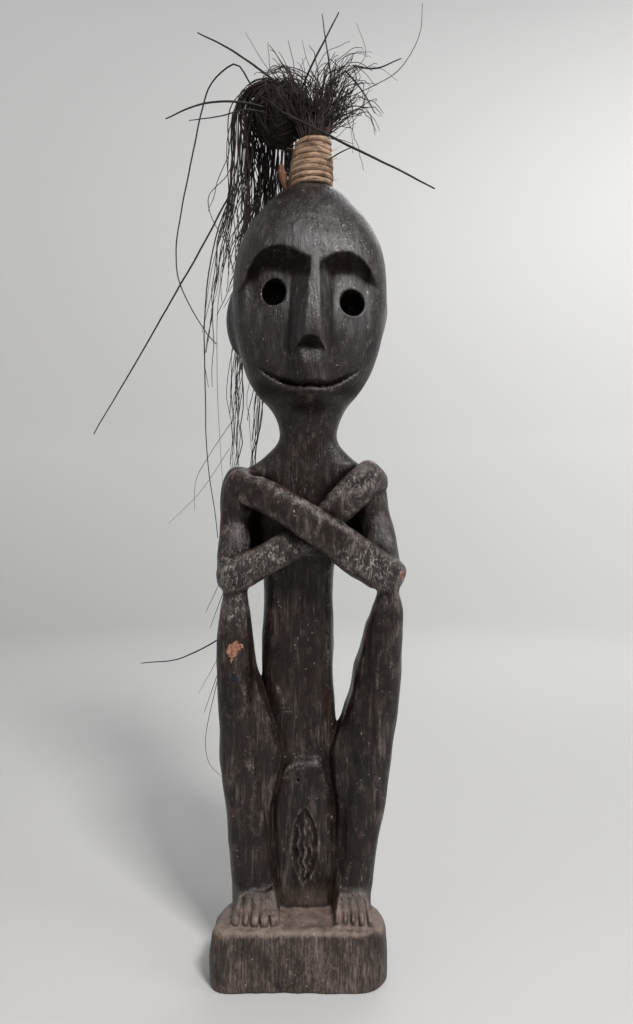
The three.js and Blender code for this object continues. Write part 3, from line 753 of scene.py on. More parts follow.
def head_shape():
    low, high, oval = stack(HEAD, 2.3)
    low = [low[0], low[1] - 8, low[2]]

    def distance(x, y, z):
        shift = face_relief(x.astype(float), z.astype(float)).astype(np.float32)
        forward = 1 - smoothstep(-22, -6, y)
        return oval(x, y - shift * forward, z) * 0.8

    return low, high, distance


def eye_hole(middle_x, middle_z, a, b):
    front, floor = -46, -14

    def distance(x, y, z):
        ratio = np.hypot((x - middle_x) / a, (z - middle_z) / b) + TINY
        radial = np.hypot(x - middle_x, z - middle_z) * (1 - 1 / ratio)
        return np.maximum(radial, y - floor)

    return (middle_x - a, front, middle_z - b), (middle_x + a, floor, middle_z + b), distance


def round_corner(p, q):
    """The distance from a corner between two faces that are at distances p and q."""
    return np.minimum(np.maximum(p, q), 0) + np.hypot(np.maximum(p, 0), np.maximum(q, 0))


def base_block():
    """The base: a block that narrows to the back, with a rounded top edge."""
    front_left, front_right, rear = 11.0, 18.0, 26.0  # the radius of its corners in plan

    def distance(x, y, z):
        edge = 3.5 + 6.5 * smoothstep(-36, -10, y)
        bow = 1.2 * (1 - ((z - 14) / 22) ** 2)
        hx, hy = 52.4 + bow - 7.5 * smoothstep(-10, 16, y), 37 + 0.6 * bow
        radius = np.where(y < 0, np.where(x < 0, front_left, front_right), rear)
        qx, qy = np.abs(x) - hx + radius, np.abs(y) - hy + radius
        plan = round_corner(qx, qy) - radius
        up = z - BASE_HEIGHT + edge
        out = plan + edge
        rounded = round_corner(out, up) - edge
        return np.maximum(rounded, -z).astype(np.float32)

    return (-55, -40, 0), (55, 40, BASE_HEIGHT), distance


def foot_shape(middle, width):
    """One foot: a steep instep, then the flat of the toes."""

    def distance(x, y, z):
        top = (z - np.interp(y, (-32, -25.5, -20, -8), (40.6, 43.4, 51, 55)).astype(np.float32)) * 0.65
        sides = np.abs(x - middle) - width / 2 + 0.04 * (y + 30) + 0.2 * np.maximum(z - 38, 0)
        return np.maximum(np.maximum(top, sides), np.maximum(-31.0 - y, y - 2))

    return (middle - width / 2, -34, BASE_HEIGHT - 2), (middle + width / 2, 2, 56), distance


def panel_shape():
    """The apron between the legs, with a pointed oval cut on its front: a rim and a rough dip inside it."""
    low, high, plain = stack(PANEL, 3.4)
    x0, z0, a, b = LENS

    def distance(x, y, z):
        wide = a * np.clip(1 - ((z - z0) / b) ** 2, 0, 1) ** 0.8
        edge = np.maximum(np.abs(x - x0) - wide, (np.abs(z - z0) - b) * 0.7)
        relief = -0.15 * np.exp(-(((edge - 0.8) / 1.2) ** 2))
        relief = relief + 1.5 * smoothstep(0.8, -1.8, edge) * (1 - 0.6 * smoothstep(-2.0, -4.4, edge))
        rough = np.sin(1.5 * x + 1.1 * np.sin(0.6 * z)) + 0.8 * np.sin(0.5 * z + 2.3 * np.sin(0.9 * x))
        relief = relief + 0.6 * rough * smoothstep(-0.6, -2.6, edge)
        return plain(x, y - relief * (y < 0), z) * 0.85

    return low, high, distance


def toe(x, half, front, top):
    return limb([(x, -24, top + 0.5, half, half), (x, front, top - 1, half * 0.95, half)])


def toe_groove(x, splay):
    start, middle = (x, -21, 49, 0.5, 0.7), (x + splay / 2, -27, 43, 1.0, 1.9)
    return limb([start, middle, (x + splay, -34.5, 38.4, 1.6, 3.4)])


def carve_body(clay):
    """Joins the body's shapes, each with how far it is rounded where it meets the ones before."""
    shapes = [
        (stack(BODY, 3.4), 1),
        (stack(CHEST, 2.7), 5),
        (stack(SHOULDER_WEB, 3.0), 4),
        *((limb(thigh, power=2.3), 3) for thigh in (THIGH_LEFT, THIGH_RIGHT)),
        *((stack(shin, 2.7), 1.4) for shin in (SHIN_LEFT, SHIN_RIGHT)),
        (slanted(stack(INNER_LEFT, 4.5), 0.3, -34), 1.5),
        (slanted(stack(INNER_RIGHT, 4.5), -0.3, 47), 3),
        (panel_shape(), 2.0),
        (head_shape(), 7),
        # The ears.
        (ellipsoid((-40.6, 6, 409), (6.6, 8, 18)), 8),
        (ellipsoid((51.0, 6, 414), (3.4, 7, 14)), 7),
        # The arms and shoulders, then the forearms and the fingers over the right shoulder.
        *((limb(arm, power=2.8), 1.6) for arm in (ARM_LEFT, ARM_RIGHT)),
        (ellipsoid((-38, -3, 296), (11, 15, 16)), 6),
        (ellipsoid((43.4, -2, 296), (10.2, 13, 14)), 5),
        (limb(FOREARM_LEFT, power=3.2), 1.2),
        (limb(FOREARM_RIGHT, power=3.2), 1.0),
        *((limb(finger), 1.5) for finger in FINGERS),
        (base_block(), 2.0),
    ]
    for shape, rounding in shapes:
        clay.join(shape, rounding)


def carve_feet(clay):
    rng = np.random.default_rng(7)
    for middle, width in FEET:
        clay.join(foot_shape(middle, width), 3.5)
        pitch = width / TOES
        for number in range(TOES):
            front, top = -30.8 + rng.uniform(-0.8, 0.8), 40.8 + rng.uniform(-0.5, 0.5)
            clay.join(toe(middle + (number - TOES // 2) * pitch, pitch * 0.5, front, top), 0.5)
        for number in range(1, TOES):
            across = number - TOES / 2
            clay.cut(toe_groove(middle + across * pitch, 0.35 * across + rng.uniform(-0.5, 0.5)), 0.5)


def carve_details(clay):
    for eye in EYES:
        clay.cut(eye_hole(*eye), 0.8)
    # The narrow necks between elbows and knees.
    for x, side in ((-40.2, 8.4), (54.9, 7.0)):
        for out in (-1, 1):
            beside = x + out * (side + 3)
            clay.cut(limb([(beside, -24, 236, 2.8, 2.8), (beside, -4, 236, 2.8, 2.8)]), 2.0)
        clay.cut(limb([(x - side, -25.6, 235.5, 1.5, 1.5), (x + side, -25.6, 235.5, 1.5, 1.5)]), 2.0)
    for rounding, crease in CREASES:
        clay.cut(limb(crease), rounding)
    clay.cut(ellipsoid((-1.2, -9.4, 117), (0.9, 1.8, 0.9)), 0.5)

    def above_crown(x, y, z):
        return CROWN_Z - z + 0 * x + 0 * y

    def socket(x, y, z):
        return np.maximum(np.hypot(x - CROWN_X, y - CROWN_Y) - SOCKET_RADIUS, SOCKET_FLOOR - z)

    clay.cut(((-30, -30, CROWN_Z), (40, 40, 500), above_crown), 1.0)
    clay.cut(((-4, -9, SOCKET_FLOOR), (17, 12, 500), socket), 0.3)


# Places marked on the surface: rows are (x, y, z, reach along x, y, z).
MARKS = {
    # Chips through the stain, a dark stain, and places that are crackled and rubbed.
    "chip": [(-38.3, -23, 203.5, 3.8, 8, 3.0), (-41.8, -23, 199, 3.0, 8, 5.0), (62.5, -24, 247, 1.7, 8, 3.4)],
    "stain": [(-40, -23, 184, 3, 8, 4)],
    "crackle": [
        (-38, -27, 252, 15, 14, 12), (-15, -28, 262, 14, 10, 9), (42, -30, 256, 17, 12, 12),
        (57, -20, 247, 12, 12, 12), (40, -20, 303, 14, 12, 9), (-40, -24, 227, 9, 9, 9),
    ],
}


def marked(points, spots):
    """The share, from 0 to 1, of spots at points."""
    total = 0
    for spot in spots:
        off = (points - spot[:3]) / spot[3:]
        total = total + np.exp(-np.sum(off * off, axis=1))
    return np.clip(total, 0, 1)


def make_carving():
    clay = Clay(GRID_LOW, GRID_HIGH, GRID_STEP)
    carve_body(clay)
    carve_feet(clay)
    clay.roughen((15, 15, 22), 0.75, seed=3)
    clay.roughen((8, 8, 19), 0.62, seed=4, fade=(315, 350), scoops=True)
    clay.roughen((3.4, 3.4, 7), 0.26, seed=5, high=(72, 48, 345), fade=(300, 345))
    clay.roughen((5, 5, 13), 0.12, seed=6, low=(-60, -52, 340))
    carve_details(clay)
    # The underside stays flat on the ground.
    cut, _, _, z = clay.window(GRID_LOW, (72, 48, 3))
    clay.field[cut] = np.maximum(clay.field[cut], -z)
    vertices, quads = mesh_of(clay)
    carved = make_object("carving", vertices, quads, WOOD)
    near = np.clip(clay.field, -7, 7)
    fine, wide = (blurred(near, max(1, round(reach / GRID_STEP))) for reach in (1.8, 6.5))
    here = sample(near, clay, vertices)
    edge = sample(fine, clay, vertices) - here
    open_ = sample(wide, clay, vertices) - here
    across, deep, height = vertices.T
    after, before = ([sample(near, clay, vertices + s * way) for way in np.eye(3)] for s in (1, -1))
    facing_up = unit(np.transpose(after) - np.transpose(before))[:, 2]
    low = 1 - smoothstep(36, 54, height)
    wear = np.clip(edge / np.interp(height, (225, 240, 318, 330), (0.32, 0.21, 0.21, 0.32)), 0, 1)
    wear = wear * (1 - 0.6 * smoothstep(345, 365, height)) * smoothstep(1, 9, height)
    # Painted shade: darker in hollows and creases, on the brows' undersides and on whatever faces down on the
    # head, where shade falls.
    shade = 0.8 * brow_shade(across, height) * (deep < -10)
    under = 0.75 * smoothstep(-0.35, -0.75, facing_up) * smoothstep(352, 362, height)
    hollow = np.clip(-open_ / 1.7, 0, 1) * (1 - 0.75 * low * smoothstep(0.5, 0.9, facing_up))
    hollow = hollow * (1 - 0.5 * smoothstep(228, 205, height))
    feet = 0.45 * smoothstep(37, 40, height) * (deep < -8)
    add_attributes(
        carved,
        wear=wear,
        hollow=reduce(np.maximum, (hollow, under, shade)),
        low=low,
        dust=low * np.clip(smoothstep(0.2, 0.75, facing_up) + feet, 0, 1),
        head=smoothstep(330, 400, height),
        **{name: marked(vertices, spots) for name, spots in MARKS.items()},
    )
    return carved


carving = make_carving()
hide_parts("carved_figure")
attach(carving, "figure")


# ---- hair ----

# Hanging locks: rows are (x, y, z, half width, half depth) from inside the knot to the tip, and bend holds two
# points along the lock. Its wisps are single thin fibres that stand away from it.
FALLS = {
    "outer": dict(
        rows=[
            (-10, 0, 556, 5, 6), (-21, -1.5, 560, 5, 6), (-31, -1.2, 555, 6, 6), (-37, 3, 545, 6, 6),
            (-39.5, 9, 518, 7, 6), (-43.5, 14, 478, 7.5, 6), (-51, 19, 430, 8, 5), (-56, 21.5, 392, 7, 5),
            (-58, 23, 362, 6, 4),
        ],
        strands=30, shortest=0.4, twist=1.5, bend=((-27, -1, 558), (-39, 8, 530)),
        wisps=[
            [(-44, 10, 516), (-48.5, 8, 505), (-60, 8, 492), (-58.8, 10, 480), (-47.6, 12, 459),
             (-45, 15, 446)],
            [(-41, 12, 500), (-58, 16, 452), (-64, 20, 420)],
            [(-42, 10, 495), (-54, 14, 450), (-66, 18, 405)],
        ],
    ),
    "twisted": dict(
        rows=[
            (-14, 10, 556, 5, 5), (-22, 12, 561, 5, 6), (-30, 14, 560, 5, 5), (-34.5, 18, 548, 6, 6),
            (-34, 22, 515, 7.5, 6), (-38, 27, 475, 7, 5.5), (-47, 32, 440, 4, 3.5),
            (-56, 33.5, 418, 3.4, 3), (-61, 34, 404, 3, 2.4),
        ],
        strands=34, shortest=0.6, twist=10, bend=((-26, 13, 560), (-35, 20, 532)),
        wisps=[[(-40, 24, 490), (-55, 28, 440), (-57.5, 31, 380), (-53.5, 33, 296)]],
    ),
    "middle": dict(
        rows=[
            (-8, 12, 552, 6, 5), (-14, 18, 559, 6, 6), (-20, 22.5, 560, 6, 5.5), (-24, 31, 548, 7, 6),
            (-25.5, 35, 512, 8.5, 6), (-31, 40, 465, 8.5, 5.5), (-39, 42, 415, 8, 5),
            (-43.5, 40.5, 365, 7, 4.5), (-44, 39, 322, 3.4, 3.4), (-46, 38, 260, 6, 3.5),
            (-51, 36, 178, 6.5, 3.5),
        ],
        strands=46, shortest=0.3, twist=2.5, bend=((-17, 20, 560), (-25, 34, 530)),
        wisps=[
            [(-46, 39, 352), (-64, 38, 325), (-73, 38, 308), (-74, 37, 287)],
            [(-50, 39, 330), (-70, 38, 300), (-92, 38, 278)],
            [(-48, 38, 260), (-57, 36, 236), (-66, 35, 217)],
            [(-47, 38, 250), (-56, 36, 225), (-63, 35, 206)],
            [(-50, 37, 205), (-59, 36, 183), (-71, 35, 161)],
            [(-50, 37, 200), (-58, 36, 174), (-67, 35, 148)],
            [(-50, 37, 210), (-58, 36, 170), (-66, 35, 129), (-63.4, 35, 113), (-55, 35, 104)],
        ],
    ),
    "back": dict(
        rows=[
            (-3, 14, 551, 6, 5), (-6, 20, 557, 6, 6), (-9, 25, 556, 6, 5.5), (-10.5, 36, 546, 7.5, 6),
            (-12.5, 43, 508, 8.5, 5.5), (-16, 48, 460, 8, 5.5), (-23, 50, 405, 7, 5),
            (-31, 49.5, 352, 6, 4.5), (-35, 48, 300, 5, 4), (-36, 46, 242, 4, 3),
        ],
        strands=36, shortest=0.35, twist=2.0, bend=((-8, 22, 557), (-11, 40, 528)),
        wisps=[],
    ),
}
TUFTS = {
    "front": dict(
        rows=[
            (3, -3, 525, 4, 3), (0, -5.4, 534, 4.5, 3), (-6, -11.5, 548, 6, 4), (-13, -14, 559, 7, 5),
            (-23, -15, 567, 8, 5),
        ],
        wisps=[[(-8, -11, 552), (-20, -13, 563), (-34, -14, 585)]],
    ),
    "right": dict(
        rows=[
            (11, -3, 525, 4, 3), (12.5, -3.6, 534, 5, 4), (19, -4, 550, 8, 5), (28, -6, 565, 8, 6),
            (40, -8, 572, 8, 6),
        ],
        wisps=[
            [(20, -5, 545), (44, -10, 553), (62, -10, 564), (75, -10, 586), (77, -10, 606)],
            [(26, -6, 560), (41, -8, 574), (35.6, -8, 595)],
            [(16, -5, 538), (30, -7, 543), (46, -8, 553)],
        ],
    ),
    "side": dict(
        rows=[
            (14, 3, 525, 3, 3), (17.6, 5, 535, 4, 4), (28, 9.5, 550, 8, 6), (38, 11, 559, 9, 6),
            (47, 11, 550, 8, 6),
        ],
        wisps=[[(17, 4, 534), (34, 6, 540), (45, 6, 562)]],
    ),
    "upright": dict(
        rows=[
            (9, 6, 525, 4, 4), (9.5, 9.4, 535, 6, 4), (10, 9, 552, 12, 6), (14, 11, 564, 14, 7),
            (21, 11, 571, 14, 7),
        ],
        wisps=[[(14, 8, 560), (4, 6, 580), (1, 5, 592)]],
    ),
    "rear": dict(
        rows=[
            (5, 9, 525, 4, 3), (4, 12.4, 534, 4.5, 4), (7, 21, 551, 7, 5), (6, 30, 560, 7, 6),
            (2, 38, 554, 7, 6),
        ],
        wisps=[],
    ),
}
KNOT_ROWS = [
    (8, 1, 525, 8, 8), (6, 2, 536, 8, 8), (0, 4, 549, 8, 9), (-8, 7, 559, 8, 9), (-18, 9, 561, 8, 10),
    (-28, 10, 553, 7, 9), (-30, 11, 540, 5, 8),
]
KNOT = ((-14.5, 8, 545), (15, 13.5, 18.5))

POINTS = 34  # along each strand of a lock
WISP_RADIUS = 0.24
CORE_TONE = 0.1
LEAN = 0.05  # how far the topknot's axis goes to the right for each step up

# Stiff stray fibres: the body each rides on, its radius at the root, and points along it.
QUILLS = {
    "quill_long_right": ("figure", 0.85, [
        (-20, -6.8, 546), (-9, -14, 534.5), (12, -18, 522.5), (83, -23, 484),
    ]),
    "quill_top": ("figure", 0.7, [(-2, -1.6, 550), (7, -11, 565.5), (24, -16, 596.5)]),
    "quill_top_thin": ("figure", 0.5, [(20, -8.6, 556), (17.5, -10, 572), (14, -9, 600)]),
    "quill_upper_left": ("figure", 0.7, [(-15.5, -3, 560.5), (-43, -12.5, 575.5), (-63.5, -16, 583.5)]),
    "quill_left": ("figure", 0.75, [
        (-23, -4.4, 543.5), (-33, -9, 543.5), (-55, -13, 541.5), (-67, -15, 538), (-83.5, -17, 529.5),
    ]),
    "quill_left_low": ("figure", 0.5, [
        (-21, -5, 539.5), (-33, -10, 539), (-50, -14, 532.5), (-68.5, -18, 528),
    ]),
    "quill_right_up": ("figure", 0.55, [(33, -10.4, 566.5), (48, -13, 563), (63.5, -16, 567)]),
    "quill_right_down": ("figure", 0.55, [(28.5, -10, 563.5), (38, -16, 549), (46.5, -19, 532.5)]),
    "quill_right_low": ("figure", 0.45, [(18, -9.2, 508), (26, -13, 511), (34, -15, 513.5)]),
    "quill_arch": ("hair_outer", 0.55, [
        (-31.5, -1.2, 559.4), (-41, -2, 572), (-50, -2, 567.5), (-58, -1, 558.5), (-62.5, 0, 546),
        (-75.5, 4, 488), (-81.5, 8, 455), (-79, 10, 436), (-62.5, 14, 404), (-56, 15, 397),
    ]),
    "quill_slant": ("hair_outer", 0.6, [
        (-44, 6.2, 496), (-56.5, 4, 471), (-93.5, 0, 403), (-132, -2, 336),
    ]),
    "quill_hanging": ("hair_twisted", 0.45, [
        (-41.2, 22, 512), (-55.5, 25, 477), (-64, 28, 439), (-65.5, 31, 365), (-64, 32, 324),
        (-57, 33, 268),
    ]),
    "quill_low_side": ("hair_middle", 0.5, [
        (-51.4, 35, 204), (-59, 32, 197.5), (-82.5, 30, 186), (-109, 29, 183.5),
    ]),
}


def along_path(rows, shares):
    """Lengths, places, half sizes and the two sideways directions at shares of a smooth path's length."""
    fine = curve_table(rows, 12)
    run = np.concatenate([[0], np.cumsum(np.linalg.norm(np.diff(fine[:, :3], axis=0), axis=1))])
    forward = unit(np.gradient(fine[:, :3], axis=0))
    across = unit(np.cross(forward, (0, 1, 0)))
    deep = np.cross(across, forward)
    lengths = shares * run[-1]

    def read(table):
        return np.stack([np.interp(lengths, run, column) for column in table.T], -1)

    return lengths, read(fine[:, :3]), read(fine[:, 3:]), read(across), read(deep)


def wander(rng, lengths, wave):
    """A smooth sideways wander of strands at lengths (strand, point). wave is its wavelength."""
    total = 0
    for pace in (1, 2.3, 5.1):
        rate = rng.uniform(0.7, 1.4, (len(lengths), 1, 3)) * pace / wave
        phase = rng.uniform(0, 2 * np.pi, (len(lengths), 1, 3))
        swing = np.sin(2 * np.pi * rate * lengths[..., None] + phase) - np.sin(phase)
        total = total + swing / pace**1.2
    return total


def strand_paths(rng, rows, count, shortest, twist=0.0, *, amount, wave, points=POINTS, curl=0.0):
    """Paths of strands that follow rows of (x, y, z, half width, half depth), some ending early.

    amount is how far they wander, and curl is the radius of the loops that they end in.
    """
    ends = shortest + (1 - shortest) * rng.beta(1.0, 1.9, count)
    shares = ends[:, None] * np.linspace(0, 1, points)
    lengths, places, halves, across, deep = along_path(rows, shares)
    # The strands hang together in clumps of about five.
    clump = rng.integers(0, max(1, count // 5), count)
    angle = rng.uniform(0, 2 * np.pi, count)[clump] + rng.normal(0, 0.35, count)
    angle = angle[:, None] + twist * shares
    stray = np.where(rng.uniform(0, 1, count) < 0.14, 1.9, 1.0)[:, None]
    reach = np.sqrt(rng.uniform(0, 1, count))[clump] + rng.normal(0, 0.1, count)
    reach = reach[:, None] * (1 + (stray - 1) * smoothstep(0.1, 0.5, shares))
    sideways = across * (halves[..., 0] * reach * np.cos(angle))[..., None]
    sideways += deep * (halves[..., 1] * reach * np.sin(angle))[..., None]
    growth = (smoothstep(0, 30, lengths) * stray)[..., None]
    paths = places + sideways + amount * growth * wander(rng, lengths, wave)
    if curl:
        first = unit(rng.normal(0, 1, (count, 1, 3)) * (1, 0.7, 0.5))
        second = unit(np.cross(first, rng.normal(0, 1, (count, 1, 3))) + (0, 0, 0.8))
        turn = rng.uniform(1.2, 4.4, (count, 1, 1)) * np.clip(shares / 0.85 - 0.18, 0, 1)[..., None] ** 1.3
        size = curl * rng.uniform(0.35, 1.2, (count, 1, 1))
        paths += size * (first * (np.cos(turn) - 1) + second * np.sin(turn))
    return paths


def wisp_paths(wisps):
    """Paths of single fibres, each given by points along it."""
    shares = np.linspace(0, 1, POINTS)[None]
    return [along_path([(*point, 0, 0) for point in wisp], shares)[1] for wisp in wisps]


def strand_radii(rng, count, points, root, tip=0.5):
    """Radii (strand, point) that taper to tip times the root's."""
    thick = root * rng.uniform(0.7, 1.3, count)[:, None]
    return thick * (1 - (1 - tip) * np.linspace(0, 1, points) ** 2)


def make_strands(name, rng, paths, radii, sides=4, core=None, shading=1.5):
    """One object of strands, each with its own tone, and of a core (vertices, faces) if one is given."""
    mesh = sweep(paths, radii, sides)
    tone = np.repeat(rng.uniform(0, 1, len(paths)) ** shading * (len(paths) > 1), paths.shape[1] * sides)
    if core is not None:
        mesh = joined(mesh, core)
        tone = np.append(tone, np.full(len(core[0]), CORE_TONE))
    made = make_object(name, *mesh, FIBRE)
    add_attributes(made, tone=tone)
    return made


def make_lock(name, rng, paths, root, wisps):
    """A lock of strands with its wisps, which are thinner."""
    radii = [strand_radii(rng, len(paths), POINTS, root), strand_radii(rng, len(wisps), POINTS, WISP_RADIUS)]
    return make_strands(name, rng, np.concatenate([paths, *wisp_paths(wisps)]), np.concatenate(radii))


def make_falls():
    for number, (name, lock) in enumerate(FALLS.items()):
        rng = np.random.default_rng(20 + number)
        spread = [lock[key] for key in ("rows", "strands", "shortest", "twist")]
        paths = strand_paths(rng, *spread, amount=1.5, wave=100)
        made = make_lock(f"lock_{name}", rng, paths, 0.42, lock["wisps"])
        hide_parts(f"fall_lock_{name}")
        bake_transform(made)


def arch_paths(rng, count):
    """Strands that rise out of the stem, fan out and bow over at the top of the tuft."""
    side = rng.uniform(-1, 1, count)
    root = np.stack([8 + 5 * side, rng.uniform(1, 12, count), np.full(count, 530)], -1)
    top = np.stack([13 + 30 * side, rng.uniform(-8, 20, count), rng.uniform(560, 592, count)], -1)
    across, deep = 9 * side + rng.normal(0, 8, count), rng.normal(0, 8, count)
    drop = np.stack([across, deep, -rng.uniform(12, 48, count)], -1)
    t = np.linspace(0, 1, POINTS)[None, :, None]
    paths = (1 - t) ** 2 * root[:, None] + 2 * t * (1 - t) * top[:, None] + t**2 * (top + drop)[:, None]
    return paths + 1.4 * smoothstep(0.1, 0.5, t) * wander(rng, 75 * t[..., 0].repeat(count, 0), 60)


def make_tufts():
    for number, (name, lock) in enumerate(TUFTS.items()):
        rng = np.random.default_rng(40 + number)
        paths = strand_paths(rng, lock["rows"], 48, 0.45, amount=2.2, wave=60, curl=10)
        if name == "upright":
            paths = np.concatenate([paths, arch_paths(rng, 70)])
        made = make_lock(f"tuft_{name}", rng, paths, 0.34, lock["wisps"])
        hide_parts(f"tuft_lock_{name}")
        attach(made, "figure")


def knot_arcs(rng, count, points):
    """Strands that lie round the knot like wool on a ball, most of them over it from right to left."""
    centre, half = np.array(KNOT)
    axis = unit(np.array((0, 1.0, 0)) + rng.normal(0, 0.9, (count, 3)))
    first = unit(np.cross(axis, (0.1, 0.2, 1.0)))
    second = np.cross(axis, first)
    start = rng.uniform(-1.2, 1.2, count)[:, None]
    angle = start + rng.uniform(1.8, 4.0, count)[:, None] * np.linspace(0, 1, points)
    offset = rng.uniform(-0.85, 0.85, count)[:, None]
    ring = np.sqrt(1 - offset**2) * rng.uniform(0.94, 1.1, count)[:, None]
    around = first[:, None] * np.cos(angle)[..., None] + second[:, None] * np.sin(angle)[..., None]
    return centre + half * (around * ring[..., None] + axis[:, None] * offset[..., None])


def make_knot():
    rng = np.random.default_rng(60)
    centre, half = np.array(KNOT)
    reach, points, count = np.array((24, 22, 24)), 24, 240
    clay = Clay(centre - reach, centre + reach, 0.8)
    clay.join(ellipsoid(centre, half * 0.97), 1)
    for size, amount, seed in ((6, 1.3, 61), (2.6, 0.6, 62)):
        clay.roughen(size, amount, seed, low=clay.low, high=clay.low + 48)
    folded = strand_paths(rng, KNOT_ROWS, 110, 0.6, amount=2.2, wave=50, points=points)
    around = knot_arcs(rng, count, points) + 1.2 * rng.normal(0, 1, (count, 1, 3))
    arcs = np.concatenate([around, folded])
    made = make_strands("knot", rng, arcs, strand_radii(rng, *arcs.shape[:2], 0.36), core=mesh_of(clay))
    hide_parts("fibre_knot")
    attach(made, "figure")


def on_crown(angle, radius, z):
    """Points round the topknot's axis, which leans to the right above the crown."""
    x = CROWN_X + LEAN * np.maximum(z - CROWN_Z, 0) + radius * np.cos(angle)
    return np.stack(np.broadcast_arrays(x, CROWN_Y + radius * np.sin(angle), z), -1)


def make_stem():
    """The fibre bundle: a ring of strands round a core, from the foot of the socket to the flare."""
    rng = np.random.default_rng(70)
    count, points, sides = 90, 26, 40
    heights = np.array((469, 475, 492, 506, 524, 529, 535.0))
    radii = np.array((7.6, 8.6, 8.6, 8.5, 7.2, 9.3, 10.8))
    angle = np.linspace(0, 2 * np.pi, count, endpoint=False) + rng.uniform(-0.12, 0.12, count)
    top = rng.uniform(528, 538, count)[:, None]
    z = heights[0] + (top - heights[0]) * np.linspace(0, 1, points)
    reach = np.interp(z, heights, radii) * rng.uniform(0.88, 1.03, count)[:, None]
    turn = angle[:, None] + rng.uniform(0.0, 0.5, count)[:, None] * (z - 490) / 50
    paths = on_crown(turn, reach, z)
    z = np.linspace(heights[0], 531, points)
    profile = 1 + 0.05 * rng.uniform(-1, 1, (1, points, sides))
    core = sweep(on_crown(0, 0, z)[None], np.interp(z, heights, radii)[None] - 1.0, sides, profile)
    radii = strand_radii(rng, count, points, root=0.48, tip=0.8)
    made = make_strands("stem", rng, paths, radii, sides=5, core=core, shading=1)
    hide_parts("fibre_stem")
    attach(made, "figure")


def make_quills():
    for number, (name, (body, radius, points)) in enumerate(QUILLS.items()):
        rng = np.random.default_rng(80 + number)
        shares = np.linspace(0, 1, 48)[None]
        lengths, places, *_ = along_path([(*point, 0, 0) for point in points], shares)
        paths = places + 0.22 * smoothstep(0, 15, lengths)[..., None] * wander(rng, lengths, 70)
        radii = radius * (1 - 0.45 * shares**2) * (1 + 0.04 * rng.uniform(-1, 1, shares.shape))
        made = make_strands(name.replace("quill", "fibre"), rng, paths, radii, sides=8)
        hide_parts(name)
        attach(made, body)


# ---- the binding ----

CORD_TURNS, CORD_PITCH, CORD_RADIUS, CORD_STEPS = 7.6, 3.8, 1.95, 44
CORD_BOTTOM = 494.05
# The tucked end: rows are (angle back from the first turn, distance out from the turns, height).
TUCK = [(0.02, 8, 16.5), (0.12, 7.4, 11.5), (0.26, 6, 6.5), (0.34, 4.1, 2.4), (0.2, 1.6, 0.3)]


def cord_path(rng):
    """The middle of the cord: its tucked end, then the turns."""
    start = 0.98 * np.pi
    share = np.linspace(0, 1, int(CORD_TURNS * CORD_STEPS))
    barrel = 11.1 + 1.4 * np.sin(np.pi * np.minimum(1, share + 0.25)) - 1.2 * share**3
    wide = 0.28 * np.interp(share * 30, np.arange(32), rng.uniform(-1, 1, 32))
    high = 0.35 * np.interp(share * 22, np.arange(24), rng.uniform(-1, 1, 24))
    z = CORD_BOTTOM + CORD_PITCH * CORD_TURNS * share + high
    turns = on_crown(start + 2 * np.pi * CORD_TURNS * share, barrel + wide, z)
    back, out, up = np.array(TUCK).T
    tuck = on_crown(start - back, 12.1 + out, CORD_BOTTOM + up)
    return curve_table([*tuck, *turns[:: CORD_STEPS // 11]], 8)


def cord_fibres(rng, path):
    """A few loose fibres on the outside of the cord."""
    count, points = 26, 10
    root = rng.integers(len(path) // 6, len(path), count)
    heading = unit((path[root] - (7, CROWN_Y, 0)) * (1, 1, 0))
    drift = unit(rng.normal(0, 1, (count, 3)) + heading * 0.9)[:, None]
    heading = heading[:, None]
    t = np.linspace(0, 1, points)[None, :, None]
    reach = rng.uniform(2.5, 7, count)[:, None, None]
    start = path[root][:, None] + heading * (CORD_RADIUS * 0.8)
    paths = start + reach * (drift * t + 0.4 * heading * t * t)
    return sweep(paths, strand_radii(rng, count, points, root=0.13), 4)


def make_binding():
    """The cord, with a fibrous section and its loose fibres."""
    rng = np.random.default_rng(90)
    path = cord_path(rng)
    points, sides = len(path), 20
    along = np.concatenate([[0], np.cumsum(np.linalg.norm(np.diff(path, axis=0), axis=1))])
    angle = 2 * np.pi * np.arange(sides) / sides
    ply = angle[None] + 0.22 * along[:, None]
    coarse = lumps([np.arange(float(n)) for n in (points, sides, 2)], (14, 3, 1), 91)[:, :, 0]
    profile = 1 + 0.05 * np.cos(2 * ply) + 0.03 * np.cos(7 * ply + 1) + 0.11 * coarse
    swell = 0.11 * np.interp(along / 24, np.arange(60), rng.uniform(-1, 1, 60))
    radii = CORD_RADIUS * (1 + swell + 0.25 * smoothstep(26, 16, along) - 0.4 * smoothstep(6, 0, along))
    cord, fibres = sweep(path[None], radii[None], sides, profile[None]), cord_fibres(rng, path)
    made = make_object("binding", *joined(cord, fibres), CANE)
    rest = np.zeros(len(fibres[0]))
    tucked = smoothstep(24, 15, along)
    add_attributes(
        made,
        along=np.append(np.repeat(along, sides), rest),
        round=np.append(np.tile(angle * CORD_RADIUS, points), rest),
        shade=np.append(np.repeat(tucked, sides), rest),
    )
    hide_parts("cane_winding")
    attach(made, "figure")


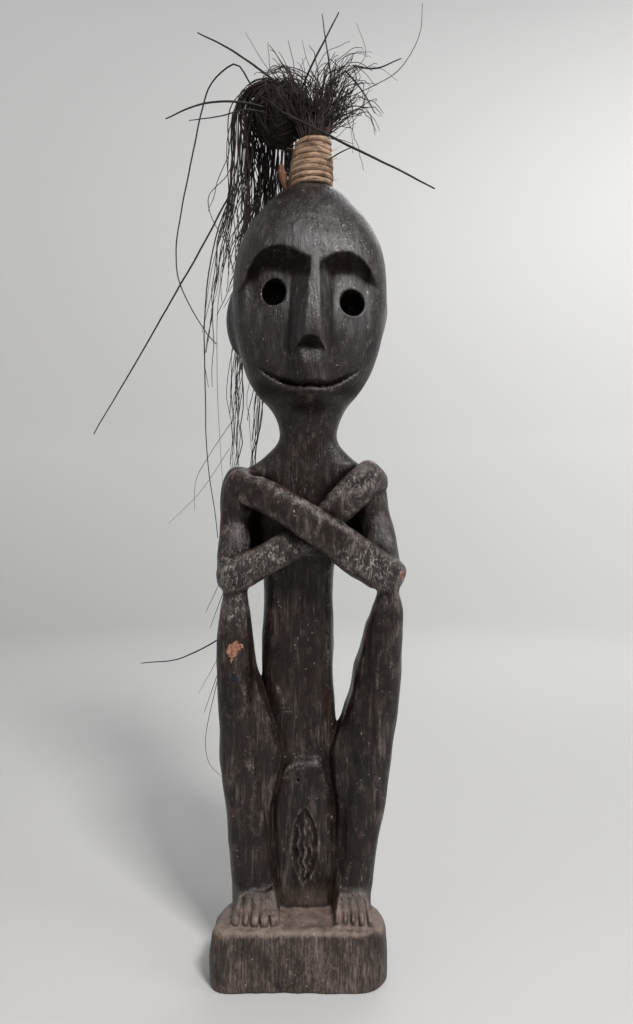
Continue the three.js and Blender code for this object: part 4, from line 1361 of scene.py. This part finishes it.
make_falls()
make_tufts()
make_knot()
make_stem()
make_quills()
make_binding()


# ---- stage and light ----


def make_stage():
    """A round paper sweep: a flat floor that turns up into a wall all round."""
    flat, wall, turn = 1500.0, 2600.0, 900.0
    bend = np.linspace(0.1, math.pi / 2, 14)
    profile = [(0, 0), (flat * 0.5, 0), (flat, 0)]
    profile += [(flat + turn * math.sin(a), turn * (1 - math.cos(a))) for a in bend]
    profile.append((flat + turn, wall))
    angles = np.linspace(0, 2 * math.pi, 96, endpoint=False)
    below = 0.05  # so that the floor and the underside of the base don't lie in one plane
    vertices = [(r * math.cos(a), r * math.sin(a), z - below) for r, z in profile for a in angles]
    around = len(angles)
    faces = []
    for ring in range(0, (len(profile) - 1) * around, around):
        for here, ahead in ((ring + j, ring + (j + 1) % around) for j in range(around)):
            faces.append((here, ahead, ahead + around, here + around))
    make_object("sweep", vertices, faces, stage_material())


def add_light(name, place, size, power, colour=(1, 1, 1), aim=(0, 0, 0.3)):
    data = bpy.data.lights.new(name, "AREA")
    data.size, data.energy, data.color = size, power, colour
    lamp = bpy.data.objects.new(name, data)
    lamp.location = place
    x, y, z = np.subtract(aim, place)
    lamp.rotation_euler = (math.atan2(math.hypot(x, y), -z), 0, math.atan2(-x, y))
    bpy.context.scene.collection.objects.link(lamp)


make_stage()
add_light("key", (0.47, -0.96, 1.30), 0.30, 24.0, (1.0, 0.985, 0.97))
add_light("side", (1.25, -0.6, 0.8), 0.6, 5.0, (0.97, 0.98, 1.0))
add_light("fill", (-1.1, -0.9, 0.8), 1.0, 1.0, (1.0, 0.97, 0.94))
add_light("back", (0.35, 1.1, 1.5), 0.9, 6.0)
add_light("wall", (0.9, 0.9, 1.3), 1.2, 14.0, aim=(0.8, 2.4, 0.4))

world = bpy.data.worlds.new("studio")
bpy.context.scene.world = world
world.use_nodes = True
world.node_tree.nodes["Background"].inputs["Color"].default_value = (0.93, 0.95, 1.0, 1)
world.node_tree.nodes["Background"].inputs["Strength"].default_value = 0.4
bpy.context.scene.view_settings.view_transform = "Standard"
